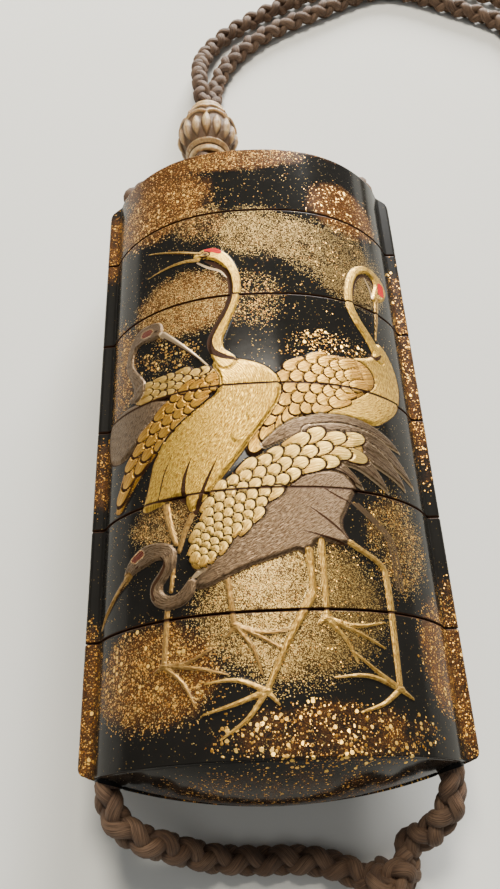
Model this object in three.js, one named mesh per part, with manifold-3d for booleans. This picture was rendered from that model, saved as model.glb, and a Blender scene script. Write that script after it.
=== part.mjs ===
// A Japanese inro: a small lacquered case of five stacked boxes and a lid, lying on its back.
// A plaited silk cord runs down a channel in each side ridge, is knotted below the case, and
// passes doubled through a carved bead (the ojime) above the lid.
// Millimetres. +X is across the case, +Y runs from the bottom box to the lid, and +Z points out
// of the decorated front. The origin is under the middle of the case, on what it lies on.

import * as THREE from "three";
import { mergeVertices } from "three/addons/utils/BufferGeometryUtils.js";
import Module from "manifold-3d";

// Outside of the case
const CASE_WIDTH = 48;
const CASE_THICKNESS = 24.1;
const RIDGE_REACH = 1.75; // how far a side ridge stands out past the swell of the body
const RIDGE_THICKNESS = 1.2;
const RIDGE_FILLET = 0.75;
const SIDE_POWER = 2.4; // how square the section is towards its sides
const CROWN_POWER = 1.35; // how full its front and back are
const BACK_FLAT = 0.2; // the back is eased by this much, so that the case lies still
const LID_HEIGHT = 13.2; // measured at the edge, without the domed end
const TOP_BOX_HEIGHT = 16.3;
const MIDDLE_BOX_HEIGHT = 15.4; // there are three of these
const BOTTOM_BOX_HEIGHT = 15.9; // without the domed end
const SEAM = 0.3;
const END_DOME = 3.8; // how far the lid's top and the bottom box's underside swell
const DOME_POWER = 1.9;
const LID_SHOULDER = 3.2; // radius of the lid's rounded shoulders
const FOOT_SHOULDER = 1.5; // radius where the ridges end at the bottom

// Inside of the case
const WALL = 1.4;
const RISER_WALL = 1.1; // wall of the upstanding lip that the next piece slides over
const RISER_HEIGHT = 3;
const RISER_CLEARANCE = 0.3;
const FLOOR = 1.5;
const END_WALL = 1.8; // thickness of the lid's top and of the bottom box's underside
const INSIDE_POWER = 2.5;

// Cord channels
const CHANNEL_FROM_TIP = 3.7; // from a ridge's tip to the middle of its channel
const CHANNEL_BORE = 3.4;
const CHANNEL_WALL = 0.9; // between the channel and the box's inside

// Silk cord
const CORD = 3.7;
const HELD_CORD = 3; // the plait is pressed thinner in the channels
const BEAD_CORD = 2.4; // and much thinner in the bead
const CORD_GAP = 0.3;
const CORD_SIDES = 8;

// Ojime bead
const BEAD_LENGTH = 14;
const BEAD_WIDTH = 12.3;
const BEAD_RIM_WIDTH = 7.4;
const BEAD_X = -7.2;
const BEAD_BEYOND_LID = 20.6; // from the lid's highest point to the bead's middle
const BEAD_PETALS = 8;
const PETAL_RISE = 0.45;

// Knot under the case
const KNOT_WIDTH = 7.6;
const KNOT_X = 13.2;
const KNOT_BEYOND_CASE = 8.8; // from the bottom box's lowest point to the knot's middle

// Relief, measured out from the front
const RELIEF = { legs: 0.22, bodies: 0.34, wings: 0.52 };
const RELIEF_ROOT = 0.5; // how deep the relief is seated in the wall

// Sizes that follow from the ones above
const HALF_WIDTH = CASE_WIDTH / 2;
const HALF_THICKNESS = CASE_THICKNESS / 2;
const SWELL_HALF_WIDTH = HALF_WIDTH - RIDGE_REACH;
const CHANNEL_X = HALF_WIDTH - CHANNEL_FROM_TIP;
const MIDDLE_Z = HALF_THICKNESS - BACK_FLAT;
const BOX_HEIGHTS = [
  TOP_BOX_HEIGHT,
  MIDDLE_BOX_HEIGHT,
  MIDDLE_BOX_HEIGHT,
  MIDDLE_BOX_HEIGHT,
  BOTTOM_BOX_HEIGHT,
];
const EDGE_LENGTH = LID_HEIGHT + BOX_HEIGHTS.reduce((sum, h) => sum + h, 0);
const TOP_EDGE = EDGE_LENGTH / 2;
const BOTTOM_EDGE = -EDGE_LENGTH / 2;
const TOP_END = TOP_EDGE + END_DOME;
const BOTTOM_END = BOTTOM_EDGE - END_DOME;
const recessSize = {
  halfWidth: CHANNEL_X - CHANNEL_BORE / 2 - CHANNEL_WALL,
  halfThickness: HALF_THICKNESS - WALL,
};
const riserSize = inset(recessSize, RISER_CLEARANCE);
const cavitySize = inset(riserSize, RISER_WALL);

// Finishes
const finishes = {
  lacquer: { color: 0x24211d, roughness: 0.22, metalness: 0.1 },
  gold: { color: 0xb98f4a, roughness: 0.4, metalness: 0.7 },
  bone: { color: 0xd7bd93, roughness: 0.5, metalness: 0 },
  silk: { color: 0x5c443c, roughness: 0.75, metalness: 0 },
};

const wasm = await Module();
wasm.setup();

function inset(size, by) {
  return { halfWidth: size.halfWidth - by, halfThickness: size.halfThickness - by };
}

// Geometry to solid and back, for cuts and joins
function solidOf(geometry) {
  const bare = geometry.clone();
  bare.deleteAttribute("normal");
  bare.deleteAttribute("uv");
  const merged = mergeVertices(bare, 1e-4);
  return new wasm.Manifold(
    new wasm.Mesh({
      numProp: 3,
      vertProperties: merged.getAttribute("position").array,
      triVerts: new Uint32Array(merged.index.array),
    }),
  );
}

function geometryOf(solid) {
  const { vertProperties, triVerts } = solid.getMesh();
  const geometry = new THREE.BufferGeometry();
  geometry.setAttribute("position", new THREE.BufferAttribute(vertProperties, 3));
  geometry.setIndex(new THREE.BufferAttribute(triVerts, 1));
  geometry.computeVertexNormals();
  return geometry;
}

function joined(solids) {
  return solids.reduce((whole, solid) => whole.add(solid));
}

function cutBy(solid, cutters) {
  return cutters.reduce((rest, cutter) => rest.subtract(cutter), solid);
}

// Height of the lacquered front above the middle plane, at a distance from the centre line.
function swellAt(x) {
  const share = Math.min(1, Math.abs(x) / SWELL_HALF_WIDTH);
  return HALF_THICKNESS * (1 - share ** SIDE_POWER) ** (1 / CROWN_POWER);
}

// One quarter of the section: the swell, the hollow beside the ridge, and the ridge's round tip.
function quarterOutline() {
  const ridge = RIDGE_THICKNESS / 2;
  const meet = ridge + RIDGE_FILLET / 2;
  const root =
    SWELL_HALF_WIDTH * (1 - (meet / HALF_THICKNESS) ** CROWN_POWER) ** (1 / SIDE_POWER);
  const steps = 7;
  const swell = [];
  const lastAngle = Math.asin(root / SWELL_HALF_WIDTH);
  for (let i = 0; i < steps; i++) {
    const x = SWELL_HALF_WIDTH * Math.sin((lastAngle * i) / steps);
    swell.push(new THREE.Vector2(x, swellAt(x)));
  }
  const hollow = new THREE.QuadraticBezierCurve(
    new THREE.Vector2(root, meet),
    new THREE.Vector2(root + RIDGE_FILLET / 3, ridge),
    new THREE.Vector2(root + RIDGE_FILLET, ridge),
  );
  const tip = new THREE.EllipseCurve(HALF_WIDTH - ridge, 0, ridge, ridge, Math.PI / 2, 0, true);
  return [...swell, ...hollow.getPoints(2), ...tip.getPoints(3)];
}

// The whole section, anticlockwise, with the back eased flat.
function caseOutline() {
  const quarter = quarterOutline();
  const front = quarter.slice(0, -1);
  const mirrored = (points, sx, sy) => points.map((p) => new THREE.Vector2(sx * p.x, sy * p.y));
  const loop = [
    ...mirrored(quarter, 1, 1),
    ...mirrored(front, 1, -1).reverse(),
    ...mirrored(quarter.slice(1), -1, -1),
    ...mirrored(front.slice(1), -1, 1).reverse(),
  ];
  const lowest = -(HALF_THICKNESS - BACK_FLAT);
  loop.forEach((p) => (p.y = Math.max(p.y, lowest)));
  return loop.reverse();
}

// A squared oval, for the riser, the recess that slides over it, and the inside.
function ovalOutline({ halfWidth, halfThickness }, count = 24) {
  const points = [];
  for (let i = 0; i < count; i++) {
    const angle = (2 * Math.PI * i) / count;
    const c = Math.cos(angle);
    const s = Math.sin(angle);
    points.push(
      new THREE.Vector2(
        halfWidth * Math.sign(c) * Math.abs(c) ** (2 / INSIDE_POWER),
        halfThickness * Math.sign(s) * Math.abs(s) ** (2 / INSIDE_POWER),
      ),
    );
  }
  return points;
}

// A section drawn along Y, from one height to another.
function along(outline, from, to) {
  const depth = to - from;
  const geometry = new THREE.ExtrudeGeometry(new THREE.Shape(outline), {
    depth,
    bevelEnabled: false,
  });
  return solidOf(geometry.rotateX(Math.PI / 2).translate(0, to, 0));
}

// Swell of a domed end: 1 at the rim of the section, 0 at its middle.
function domeAt(share) {
  return END_DOME * (1 - share ** DOME_POWER);
}

// How far a rounded shoulder has dropped below the edge, near the tips of the ridges.
function shoulderDrop(x, radius) {
  const into = Math.abs(x) - (HALF_WIDTH - radius);
  return into <= 0 ? 0 : radius - Math.sqrt(Math.max(0, radius ** 2 - into ** 2));
}

// A section drawn from a flat end to a domed one. The domed end points along +Y where up is 1.
function domed(outline, flat, edge, up, rise, shoulder) {
  const shares = [1, 0.88, 0.66, 0.36];
  const fade = 6; // the shoulder only touches the outermost part of the end
  const rings = [outline.map((p) => [p.x, flat, p.y])];
  shares.forEach((s) => {
    const height = edge + up * rise * (1 - s ** DOME_POWER);
    rings.push(
      outline.map((p) => [s * p.x, height - up * shoulderDrop(p.x, shoulder) * s ** fade, s * p.y]),
    );
  });
  const count = outline.length;
  const positions = rings.flat(2);
  const apex = positions.length / 3;
  positions.push(0, edge + up * rise, 0);
  const index = [];
  for (let r = 0; r < rings.length - 1; r++) {
    for (let i = 0; i < count; i++) {
      const j = (i + 1) % count;
      const [a, b, c, d] = [r * count + i, r * count + j, (r + 1) * count + i, (r + 1) * count + j];
      index.push(a, b, c, b, d, c);
    }
  }
  const last = (rings.length - 1) * count;
  for (let i = 0; i < count; i++) {
    index.push(last + i, last + ((i + 1) % count), apex);
  }
  for (const [a, b, c] of THREE.ShapeUtils.triangulateShape(outline, [])) {
    index.push(a, c, b);
  }
  const geometry = new THREE.BufferGeometry();
  geometry.setAttribute("position", new THREE.Float32BufferAttribute(positions, 3));
  geometry.setIndex(index);
  const turnsOut = up * THREE.ShapeUtils.area(outline) < 0;
  return solidOf(turnsOut ? geometry : turnedInsideOut(geometry));
}

function turnedInsideOut(geometry) {
  const index = geometry.index.array;
  for (let i = 0; i < index.length; i += 3) {
    [index[i + 1], index[i + 2]] = [index[i + 2], index[i + 1]];
  }
  return geometry;
}

function channels() {
  const length = 2 * (TOP_END - BOTTOM_END);
  return [-1, 1].map((side) =>
    solidOf(
      new THREE.CylinderGeometry(CHANNEL_BORE / 2, CHANNEL_BORE / 2, length, 12).translate(
        side * CHANNEL_X,
        0,
        0,
      ),
    ),
  );
}

// The cranes: each stroke is a few points down the middle of a form, as [x, y, half-width], on the
// front seen flat. Legs, bodies and wings stand out by different amounts.
const tallGoldCrane = {
  bodies: [
    [[-8.6, 24.3, 0.5], [-7.2, 24.5, 1.0], [-4.8, 23.3, 1.0], [-3.1, 19.6, 0.85],
      [-3.2, 15.6, 0.85], [-4.8, 11.4, 1.0], [-5.8, 8.0, 1.2], [-5.0, 4.8, 2.0], [-3.4, 1.0, 3.0]],
    [[1.6, 2.2, 1.6], [-1.5, -0.4, 4.0], [-5.3, -4.7, 4.8], [-8.6, -8.4, 5.2],
      [-11.4, -12.6, 4.0], [-13.2, -15.8, 1.2]],
  ],
  wings: [
    [[-5.6, 1.9, 1.0], [-9.6, 0.0, 1.9], [-13.2, -3.6, 2.1], [-16.6, -7.8, 1.8],
      [-19.4, -13.4, 0.6]],
  ],
  legs: [
    [[-8.2, 24.6, 0.45], [-12.2, 26.6, 0.32], [-16.2, 28.4, 0.12]],
    [[-8.4, 23.6, 0.42], [-12.4, 23.9, 0.3], [-16.2, 23.6, 0.12]],
    [[-9.6, -15.0, 0.7], [-11.0, -20.6, 0.42], [-12.2, -27.5, 0.38], [-12.8, -35.2, 0.42]],
    [[-5.2, -25.5, 0.4], [-4.5, -31.4, 0.4]],
  ],
  feet: [
    { at: [-12.8, -35.2], toes: [[-7.2, -33.8], [-5.4, -36.8], [-9.2, -39.8]] },
    { at: [-4.5, -31.4], toes: [[2.4, -32.1], [1.2, -34.6], [-1.6, -37.0]] },
  ],
};

const farSilverCrane = {
  bodies: [
    [[-15.0, 12.9, 1.0], [-16.6, 13.0, 1.3], [-18.2, 11.4, 0.85], [-18.6, 9.2, 0.75],
      [-18.0, 6.4, 0.9], [-17.0, 3.8, 1.1], [-16.8, 1.0, 2.0]],
    [[-13.0, 0.2, 1.4], [-16.4, -2.2, 3.2], [-19.8, -4.4, 1.6]],
  ],
  wings: [[[-6.0, 3.1, 0.5], [-10.6, 2.9, 1.3], [-15.2, 2.4, 1.6]]],
  legs: [[[-13.2, 11.2, 0.5], [-10.2, 8.0, 0.34], [-7.1, 4.7, 0.12]]],
  feet: [],
};

const loopNeckGoldCrane = {
  bodies: [
    [[18.0, 19.0, 0.55], [18.9, 20.6, 1.0], [18.8, 23.4, 0.95], [17.2, 24.1, 0.7],
      [15.4, 22.9, 0.65], [13.9, 19.4, 0.65], [13.8, 15.0, 0.68], [15.2, 11.8, 0.75],
      [16.9, 8.4, 0.9], [17.0, 5.4, 1.8]],
    [[17.8, 8.6, 1.4], [17.4, 3.4, 2.9], [15.2, -1.4, 2.6], [7.0, -4.2, 0.7]],
  ],
  wings: [
    [[13.2, 3.3, 2.4], [9.6, 2.1, 3.6], [5.6, 0.2, 3.6], [2.0, -3.0, 2.4], [-1.6, -7.2, 0.8]],
  ],
  legs: [[[18.3, 18.8, 0.5], [17.8, 15.0, 0.38], [17.2, 11.0, 0.2]]],
  feet: [],
};

const bendingSilverCrane = {
  bodies: [
    [[11.0, -14.2, 1.2], [8.4, -17.0, 3.6], [4.6, -18.6, 4.4], [0.4, -20.4, 4.2],
      [-4.4, -24.0, 2.8], [-7.6, -26.0, 1.5], [-9.8, -27.2, 1.0], [-11.6, -27.9, 0.9],
      [-13.5, -27.0, 0.85], [-13.4, -25.0, 0.85], [-12.3, -22.6, 0.9], [-14.2, -21.2, 1.25],
      [-17.2, -22.6, 0.9]],
  ],
  wings: [
    [[12.0, -8.4, 1.0], [7.2, -9.2, 2.1], [2.2, -11.4, 2.8], [-2.4, -14.8, 3.0],
      [-6.0, -19.2, 2.5], [-8.6, -23.4, 1.0]],
  ],
  legs: [
    [[-17.6, -23.3, 0.5], [-19.4, -25.2, 0.34], [-21.6, -28.6, 0.12]],
    [[4.6, -21.0, 0.8], [4.6, -28.0, 0.5], [1.6, -33.2, 0.4], [-1.2, -38.8, 0.42]],
    [[6.2, -20.6, 0.7], [6.2, -26.0, 0.42], [6.0, -31.0, 0.42]],
    [[10.2, -20.0, 0.7], [13.8, -24.8, 0.45], [13.9, -31.0, 0.38], [13.9, -38.7, 0.42]],
  ],
  feet: [
    { at: [-1.2, -38.8], toes: [[-8.0, -37.6], [-8.2, -40.9], [-6.4, -43.6]] },
    { at: [6.0, -31.0], toes: [[13.0, -31.2], [12.6, -34.2], [9.2, -36.0]] },
    { at: [13.9, -38.7], toes: [[6.4, -37.6], [9.0, -34.9], [9.0, -41.3]] },
  ],
};

// The bending crane's long tail plumes, as a fan from one point.
const PLUMES = { from: [9.2, -7.6], count: 5, first: 12, last: -72, reach: 9.5, droop: 1.2 };
const cranes = [tallGoldCrane, farSilverCrane, loopNeckGoldCrane, bendingSilverCrane];

function plumeStrokes() {
  const strokes = [];
  const [x, y] = PLUMES.from;
  for (let i = 0; i < PLUMES.count; i++) {
    const degrees = THREE.MathUtils.lerp(PLUMES.first, PLUMES.last, i / (PLUMES.count - 1));
    const angle = THREE.MathUtils.degToRad(degrees);
    const tip = [x + PLUMES.reach * Math.cos(angle), y + 0.72 * PLUMES.reach * Math.sin(angle)];
    const bend = [(x + tip[0]) / 2, (y + tip[1]) / 2 + PLUMES.droop];
    strokes.push([[x, y, 1.3], [...bend, 1.0], [...tip, 0.3]]);
  }
  return strokes;
}

// The outline of a stroke: its middle line is a spline, and its width changes along it.
function strokeOutline(stroke) {
  const perSpan = stroke.length > 3 ? 2 : 1;
  const spline = new THREE.SplineCurve(stroke.map(([x, y]) => new THREE.Vector2(x, y)));
  const count = perSpan * (stroke.length - 1);
  const left = [];
  const right = [];
  for (let i = 0; i <= count; i++) {
    const at = i / perSpan;
    const before = Math.min(Math.floor(at), stroke.length - 2);
    const half = THREE.MathUtils.lerp(stroke[before][2], stroke[before + 1][2], at - before);
    const point = spline.getPoint(i / count);
    const tangent = spline.getTangent(i / count);
    left.push(new THREE.Vector2(point.x - half * tangent.y, point.y + half * tangent.x));
    right.push(new THREE.Vector2(point.x + half * tangent.y, point.y - half * tangent.x));
  }
  return [...left, ...right.reverse()];
}

function strokePrism(stroke) {
  const geometry = new THREE.ExtrudeGeometry(new THREE.Shape(strokeOutline(stroke)), {
    depth: CASE_THICKNESS,
    bevelEnabled: false,
  });
  return solidOf(geometry);
}

// All strokes that stand out by the same amount, as one solid that reaches out of the front.
function figureLayer(kind) {
  const strokes = cranes.flatMap((crane) => crane[kind]);
  if (kind === "bodies") {
    strokes.push(...plumeStrokes());
  }
  if (kind === "legs") {
    cranes.forEach((crane) =>
      crane.feet.forEach(({ at, toes }) =>
        toes.forEach((tip) => strokes.push([[...at, 0.5], [...tip, 0.2]])),
      ),
    );
  }
  return joined(strokes.map(strokePrism));
}

// The skin of the front between two heights, from inside the wall to the top of the relief.
function frontSkin(from, to, rise) {
  const steps = 14;
  const reach = SWELL_HALF_WIDTH * 0.985;
  const outer = [];
  const inner = [];
  for (let i = 0; i <= steps; i++) {
    const x = reach * Math.sin((Math.PI / 2) * ((2 * i) / steps - 1));
    outer.push(new THREE.Vector2(x, swellAt(x) + rise));
    inner.push(new THREE.Vector2(x, swellAt(x) - RELIEF_ROOT));
  }
  return along([...inner, ...outer.reverse()], from, to);
}

const figures = Object.keys(RELIEF).map((kind) => [RELIEF[kind], figureLayer(kind)]);

function withRelief(section, from, to) {
  return figures.reduce((whole, [rise, figure]) => {
    const raised = figure.intersect(frontSkin(from, to, rise));
    return raised.isEmpty() ? whole : whole.add(raised);
  }, section);
}

// Sections of the case
const outline = caseOutline();
const recessOutline = ovalOutline(recessSize);
const riserOutline = ovalOutline(riserSize);
const cavityOutline = ovalOutline(cavitySize);
const insideShare = cavitySize.halfWidth / HALF_WIDTH;
const insideDome = END_DOME - domeAt(insideShare);
const beyond = RISER_HEIGHT; // a cut runs this far past the face that it opens

// The inside of a domed end follows its outside, one end wall away.
function domedInside(open, edge, up) {
  const rim = edge + up * (domeAt(insideShare) - END_WALL);
  return domed(cavityOutline, open, rim, up, insideDome, 0);
}

function lid(lower) {
  const from = lower + SEAM / 2;
  const riserTop = lower - SEAM / 2 + RISER_HEIGHT;
  const shell = domed(outline, from, TOP_EDGE, 1, END_DOME, LID_SHOULDER);
  return cutBy(shell, [
    along(recessOutline, from - beyond, riserTop + RISER_CLEARANCE),
    domedInside(riserTop, TOP_EDGE, 1),
    ...channels(),
  ]);
}

function riser(upper) {
  return along(riserOutline, upper - FLOOR, upper - SEAM / 2 + RISER_HEIGHT);
}

function middleBox(lower, upper) {
  const from = lower + SEAM / 2;
  const to = upper - SEAM / 2;
  const recessTop = lower - SEAM / 2 + RISER_HEIGHT + RISER_CLEARANCE;
  const shell = along(outline, from, to).add(riser(upper));
  const box = cutBy(shell, [
    along(recessOutline, from - beyond, recessTop),
    along(cavityOutline, recessTop + FLOOR, upper + RISER_HEIGHT + beyond),
    ...channels(),
  ]);
  return withRelief(box, from, to);
}

function bottomBox(upper) {
  const to = upper - SEAM / 2;
  const shell = domed(outline, to, BOTTOM_EDGE, -1, END_DOME, FOOT_SHOULDER).add(riser(upper));
  const box = cutBy(shell, [
    domedInside(upper + RISER_HEIGHT + beyond, BOTTOM_EDGE, -1),
    ...channels(),
  ]);
  return withRelief(box, BOTTOM_EDGE, to);
}

// The bead: a rounded barrel with a collar at each end and a ring of pointed petals.
function bead() {
  const half = BEAD_LENGTH / 2;
  const rim = BEAD_RIM_WIDTH / 2;
  const belly = BEAD_WIDTH / 2 - PETAL_RISE;
  const collar = 1.3;
  const profile = [
    [0, -half],
    [rim - 0.4, -half],
    [rim, -half + 0.4],
    [rim, -half + collar],
    [belly * 0.86, -half * 0.62],
    [belly, -half * 0.2],
    [belly * 0.98, half * 0.15],
    [belly * 0.84, half * 0.52],
    [rim * 0.94, half - collar],
    [rim, half - collar + 0.3],
    [rim, half - 0.4],
    [rim - 0.4, half],
    [0, half],
  ].map(([x, y]) => new THREE.Vector2(x, y));
  const petals = [];
  for (let i = 0; i < BEAD_PETALS; i++) {
    const petal = new THREE.SphereGeometry(1, 8, 6).scale(belly * 0.3, half * 0.56, PETAL_RISE * 2);
    petal.translate(0, -half * 0.04, belly - PETAL_RISE);
    petals.push(solidOf(petal.rotateY((2 * Math.PI * (i + 0.5)) / BEAD_PETALS)));
  }
  const barrel = joined([solidOf(new THREE.LatheGeometry(profile, 16)), ...petals]);
  return barrel.subtract(beadHole());
}

// A slot-shaped hole for the two strands, one above the other.
function beadHole() {
  const radius = BEAD_CORD / 2 + CORD_GAP;
  const apart = strandOffset();
  const shape = new THREE.Shape();
  shape.absarc(0, apart, radius, 0, Math.PI);
  shape.absarc(0, -apart, radius, Math.PI, 2 * Math.PI);
  return along(shape.getPoints(6).slice(0, -1), -BEAD_LENGTH, BEAD_LENGTH);
}

function strandOffset() {
  return (BEAD_CORD + CORD_GAP) / 2;
}

// A plain tube of cord through points, with a step every two or three diameters at most.
function cordTube(points, diameter = CORD) {
  const section = new THREE.Shape();
  for (let i = 0; i < CORD_SIDES; i++) {
    const angle = (2 * Math.PI * (i + 0.5)) / CORD_SIDES;
    const [x, y] = [(diameter / 2) * Math.cos(angle), (diameter / 2) * Math.sin(angle)];
    if (i === 0) {
      section.moveTo(x, y);
    } else {
      section.lineTo(x, y);
    }
  }
  const curve = new THREE.CatmullRomCurve3(points.map((p) => new THREE.Vector3(...p)));
  const steps = Math.max(1, Math.ceil(curve.getLength() / (2 * diameter)));
  return new THREE.ExtrudeGeometry(section, { extrudePath: curve, steps, bevelEnabled: false });
}

const CORD_Z = CORD / 2; // height of a cord's middle where it lies on the table
const BEAD_Y = TOP_END + BEAD_BEYOND_LID;
const beadGeometry = geometryOf(bead());
const BEAD_Z = restingHeight(beadGeometry);
const topMouth = TOP_EDGE + domeAt((CHANNEL_X - CORD / 2) / HALF_WIDTH) + CORD_GAP;
const bottomMouth = -topMouth;

// Where each stretch of free cord lies, with heights above the table.
const beadBottom = BEAD_Y - BEAD_LENGTH / 2 - CORD_GAP;
const beadTop = BEAD_Y + BEAD_LENGTH / 2 + CORD_GAP;
const strandsApart = CORD + 0.4; // the two strands, one above the other, next to the bead
const upperStrand = BEAD_Z + strandsApart / 2;
const lowerStrand = BEAD_Z - strandsApart / 2;

const lidToBeadLeft = [
  [-CHANNEL_X, topMouth, MIDDLE_Z],
  [-20.2, 49.3, 11.4],
  [-19.3, 51.4, 10.3],
  [-17.4, 53.4, 9.0],
  [-14.8, 55.1, 7.9],
  [-12.2, 56.4, 7.3],
  [-10.0, 58.0, 7.4],
  [-8.5, 60.0, 7.8],
  [BEAD_X - 0.8, beadBottom - 1.2, upperStrand],
  [BEAD_X - 0.8, beadBottom, upperStrand],
];
const lidToBeadRight = [
  [CHANNEL_X, topMouth, MIDDLE_Z],
  [20.2, 49.3, 11.3],
  [19.1, 51.4, 9.9],
  [17.0, 53.2, 8.0],
  [13.9, 54.5, 6.0],
  [10.0, 55.1, 4.2],
  [5.7, 55.3, 3.0],
  [1.4, 55.8, 2.4],
  [-2.2, 57.1, 2.5],
  [-4.9, 58.8, 3.0],
  [-6.0, 60.4, 3.5],
  [BEAD_X + 0.8, beadBottom - 1.2, lowerStrand],
  [BEAD_X + 0.8, beadBottom, lowerStrand],
];
const netsukeLoop = [
  [BEAD_X + 0.8, beadTop, lowerStrand],
  [-6.2, 80.2, 3.5],
  [-5.9, 85.4, 2.7],
  [-5.2, 91.3, 1.9],
  [-3.3, 96.8, CORD_Z],
  [0.2, 102.2, CORD_Z],
  [5.1, 107.3, CORD_Z],
  [10.3, 111.0, CORD_Z],
  [15.5, 114.0, CORD_Z],
  [20.9, 117.0, CORD_Z],
  [25.6, 119.7, CORD_Z],
  [30.2, 121.8, CORD_Z],
  [35.0, 122.6, CORD_Z],
  [39.7, 121.4, CORD_Z],
  [45.1, 118.6, CORD_Z],
  [49.9, 115.5, CORD_Z],
  [55.1, 112.3, CORD_Z],
  [59.3, 108.8, CORD_Z],
  [61.2, 104.1, CORD_Z],
  [62.6, 98.8, CORD_Z],
  [63.4, 93.2, CORD_Z],
  [65.2, 87.9, CORD_Z],
  [69.2, 84.2, CORD_Z],
  [74.6, 83.7, CORD_Z],
  [78.9, 87.2, CORD_Z],
  [80.1, 92.6, CORD_Z],
  [78.2, 98.6, CORD_Z],
  [74.7, 104.6, CORD_Z],
  [69.6, 110.5, CORD_Z],
  [63.4, 116.2, CORD_Z],
  [54.8, 121.4, CORD_Z],
  [45.6, 125.6, CORD_Z],
  [36.0, 127.4, CORD_Z],
  [27.4, 126.8, CORD_Z],
  [19.6, 123.6, CORD_Z],
  [12.8, 119.8, CORD_Z],
  [7.2, 116.2, CORD_Z],
  [2.0, 112.4, CORD_Z],
  [-2.2, 108.6, CORD_Z],
  [-5.6, 104.4, 1.9],
  [-7.9, 98.4, 3.2],
  [-8.7, 91.4, 5.6],
  [-8.5, 85.2, 7.3],
  [-8.1, 80.2, 7.9],
  [BEAD_X - 0.8, beadTop, upperStrand],
];
const bottomLeft = [
  [-CHANNEL_X, bottomMouth, MIDDLE_Z],
  [-19.5, -49.9, 11.4],
  [-17.7, -51.7, 10.7],
  [-15.6, -52.7, 9.5],
  [-13.8, -53.2, 7.7],
  [-12.2, -53.7, 5.7],
  [-10.3, -54.2, 3.9],
  [-8.0, -54.7, 2.7],
  [-5.5, -54.9, 2.0],
  [-2.9, -55.1, CORD_Z],
  [-0.3, -55.1, CORD_Z],
  [2.3, -55.2, CORD_Z],
  [4.9, -55.6, 1.9],
  [7.1, -56.2, 2.1],
  [8.9, -57.0, 2.3],
];
const bottomRight = [
  [CHANNEL_X, bottomMouth, MIDDLE_Z],
  [20.1, -49.5, 11.1],
  [19.4, -51.1, 10.0],
  [18.4, -52.3, 8.4],
  [17.3, -53.1, 6.6],
  [16.4, -53.5, 5.2],
  [15.5, -54.1, 4.3],
];

// The knot: two crossing turns of cord drawn tight round a core.
function knot() {
  const turn = CORD * 0.42;
  const ring = KNOT_WIDTH / 2 - turn;
  const core = solidOf(new THREE.SphereGeometry(KNOT_WIDTH * 0.36, 10, 6));
  const turns = [
    [0.5, 0.3],
    [-0.7, 1.5],
  ].map(([tilt, roll]) =>
    solidOf(new THREE.TorusGeometry(ring, turn, 6, 12).rotateX(tilt).rotateY(roll)),
  );
  return joined([core, ...turns]);
}

// How high a piece's own middle is when the piece lies on the table.
function restingHeight(geometry) {
  geometry.computeBoundingBox();
  return -geometry.boundingBox.min.z;
}

// The whole piece
const inro = new THREE.Group();
inro.name = "inro";
const caseGroup = new THREE.Group();
caseGroup.position.z = MIDDLE_Z;
inro.add(caseGroup);

function addPiece(parent, name, geometry, finish) {
  const mesh = new THREE.Mesh(geometry, new THREE.MeshStandardMaterial(finishes[finish]));
  mesh.name = name;
  parent.add(mesh);
  return mesh;
}

let height = TOP_EDGE - LID_HEIGHT;
addPiece(caseGroup, "lid", geometryOf(lid(height)), "lacquer");
BOX_HEIGHTS.forEach((boxHeight, i) => {
  const upper = height;
  const lower = upper - boxHeight;
  const isBottom = i === BOX_HEIGHTS.length - 1;
  const box = isBottom ? bottomBox(upper) : middleBox(lower, upper);
  addPiece(caseGroup, `case_${i + 1}`, geometryOf(box), i === 2 ? "gold" : "lacquer");
  height = lower;
});

const heldLength = topMouth - bottomMouth - 4 * CORD_GAP;
for (const [side, x] of [["left", -CHANNEL_X], ["right", CHANNEL_X]]) {
  const held = new THREE.CylinderGeometry(HELD_CORD / 2, HELD_CORD / 2, heldLength, CORD_SIDES);
  addPiece(caseGroup, `cord_in_${side}_channel`, held, "silk").position.x = x;
}

const beadGroup = new THREE.Group();
beadGroup.position.set(BEAD_X, BEAD_Y, BEAD_Z);
inro.add(beadGroup);
addPiece(beadGroup, "ojime_bead", beadGeometry, "bone");
for (const [level, z] of [["upper", strandOffset()], ["lower", -strandOffset()]]) {
  const held = new THREE.CylinderGeometry(BEAD_CORD / 2, BEAD_CORD / 2, BEAD_LENGTH, CORD_SIDES);
  addPiece(beadGroup, `cord_in_bead_${level}`, held, "silk").position.z = z;
}

addPiece(inro, "cord_lid_to_bead_left", cordTube(lidToBeadLeft), "silk");
addPiece(inro, "cord_lid_to_bead_right", cordTube(lidToBeadRight), "silk");
addPiece(inro, "cord_netsuke_loop", cordTube(netsukeLoop), "silk");
addPiece(inro, "cord_bottom_left", cordTube(bottomLeft), "silk");
addPiece(inro, "cord_bottom_right", cordTube(bottomRight), "silk");
const knotGeometry = geometryOf(knot());
const knotPiece = addPiece(inro, "bottom_knot", knotGeometry, "silk");
knotPiece.position.set(KNOT_X, BOTTOM_END - KNOT_BEYOND_CASE, restingHeight(knotGeometry));

export default inro;
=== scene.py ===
# %% [markdown]
# # An inro, its cord and its bead
# An inro is a small Japanese case of boxes that stack on each other. This one is lacquered
# black, sprinkled with gold and decorated with cranes in raised gold and silver lacquer.
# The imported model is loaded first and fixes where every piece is. Lengths below are written in
# millimetres, as a maker would measure them, and become metres when a mesh is made.

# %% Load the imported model
import math

import bpy
import numpy as np
from mathutils import Matrix, Vector


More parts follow.
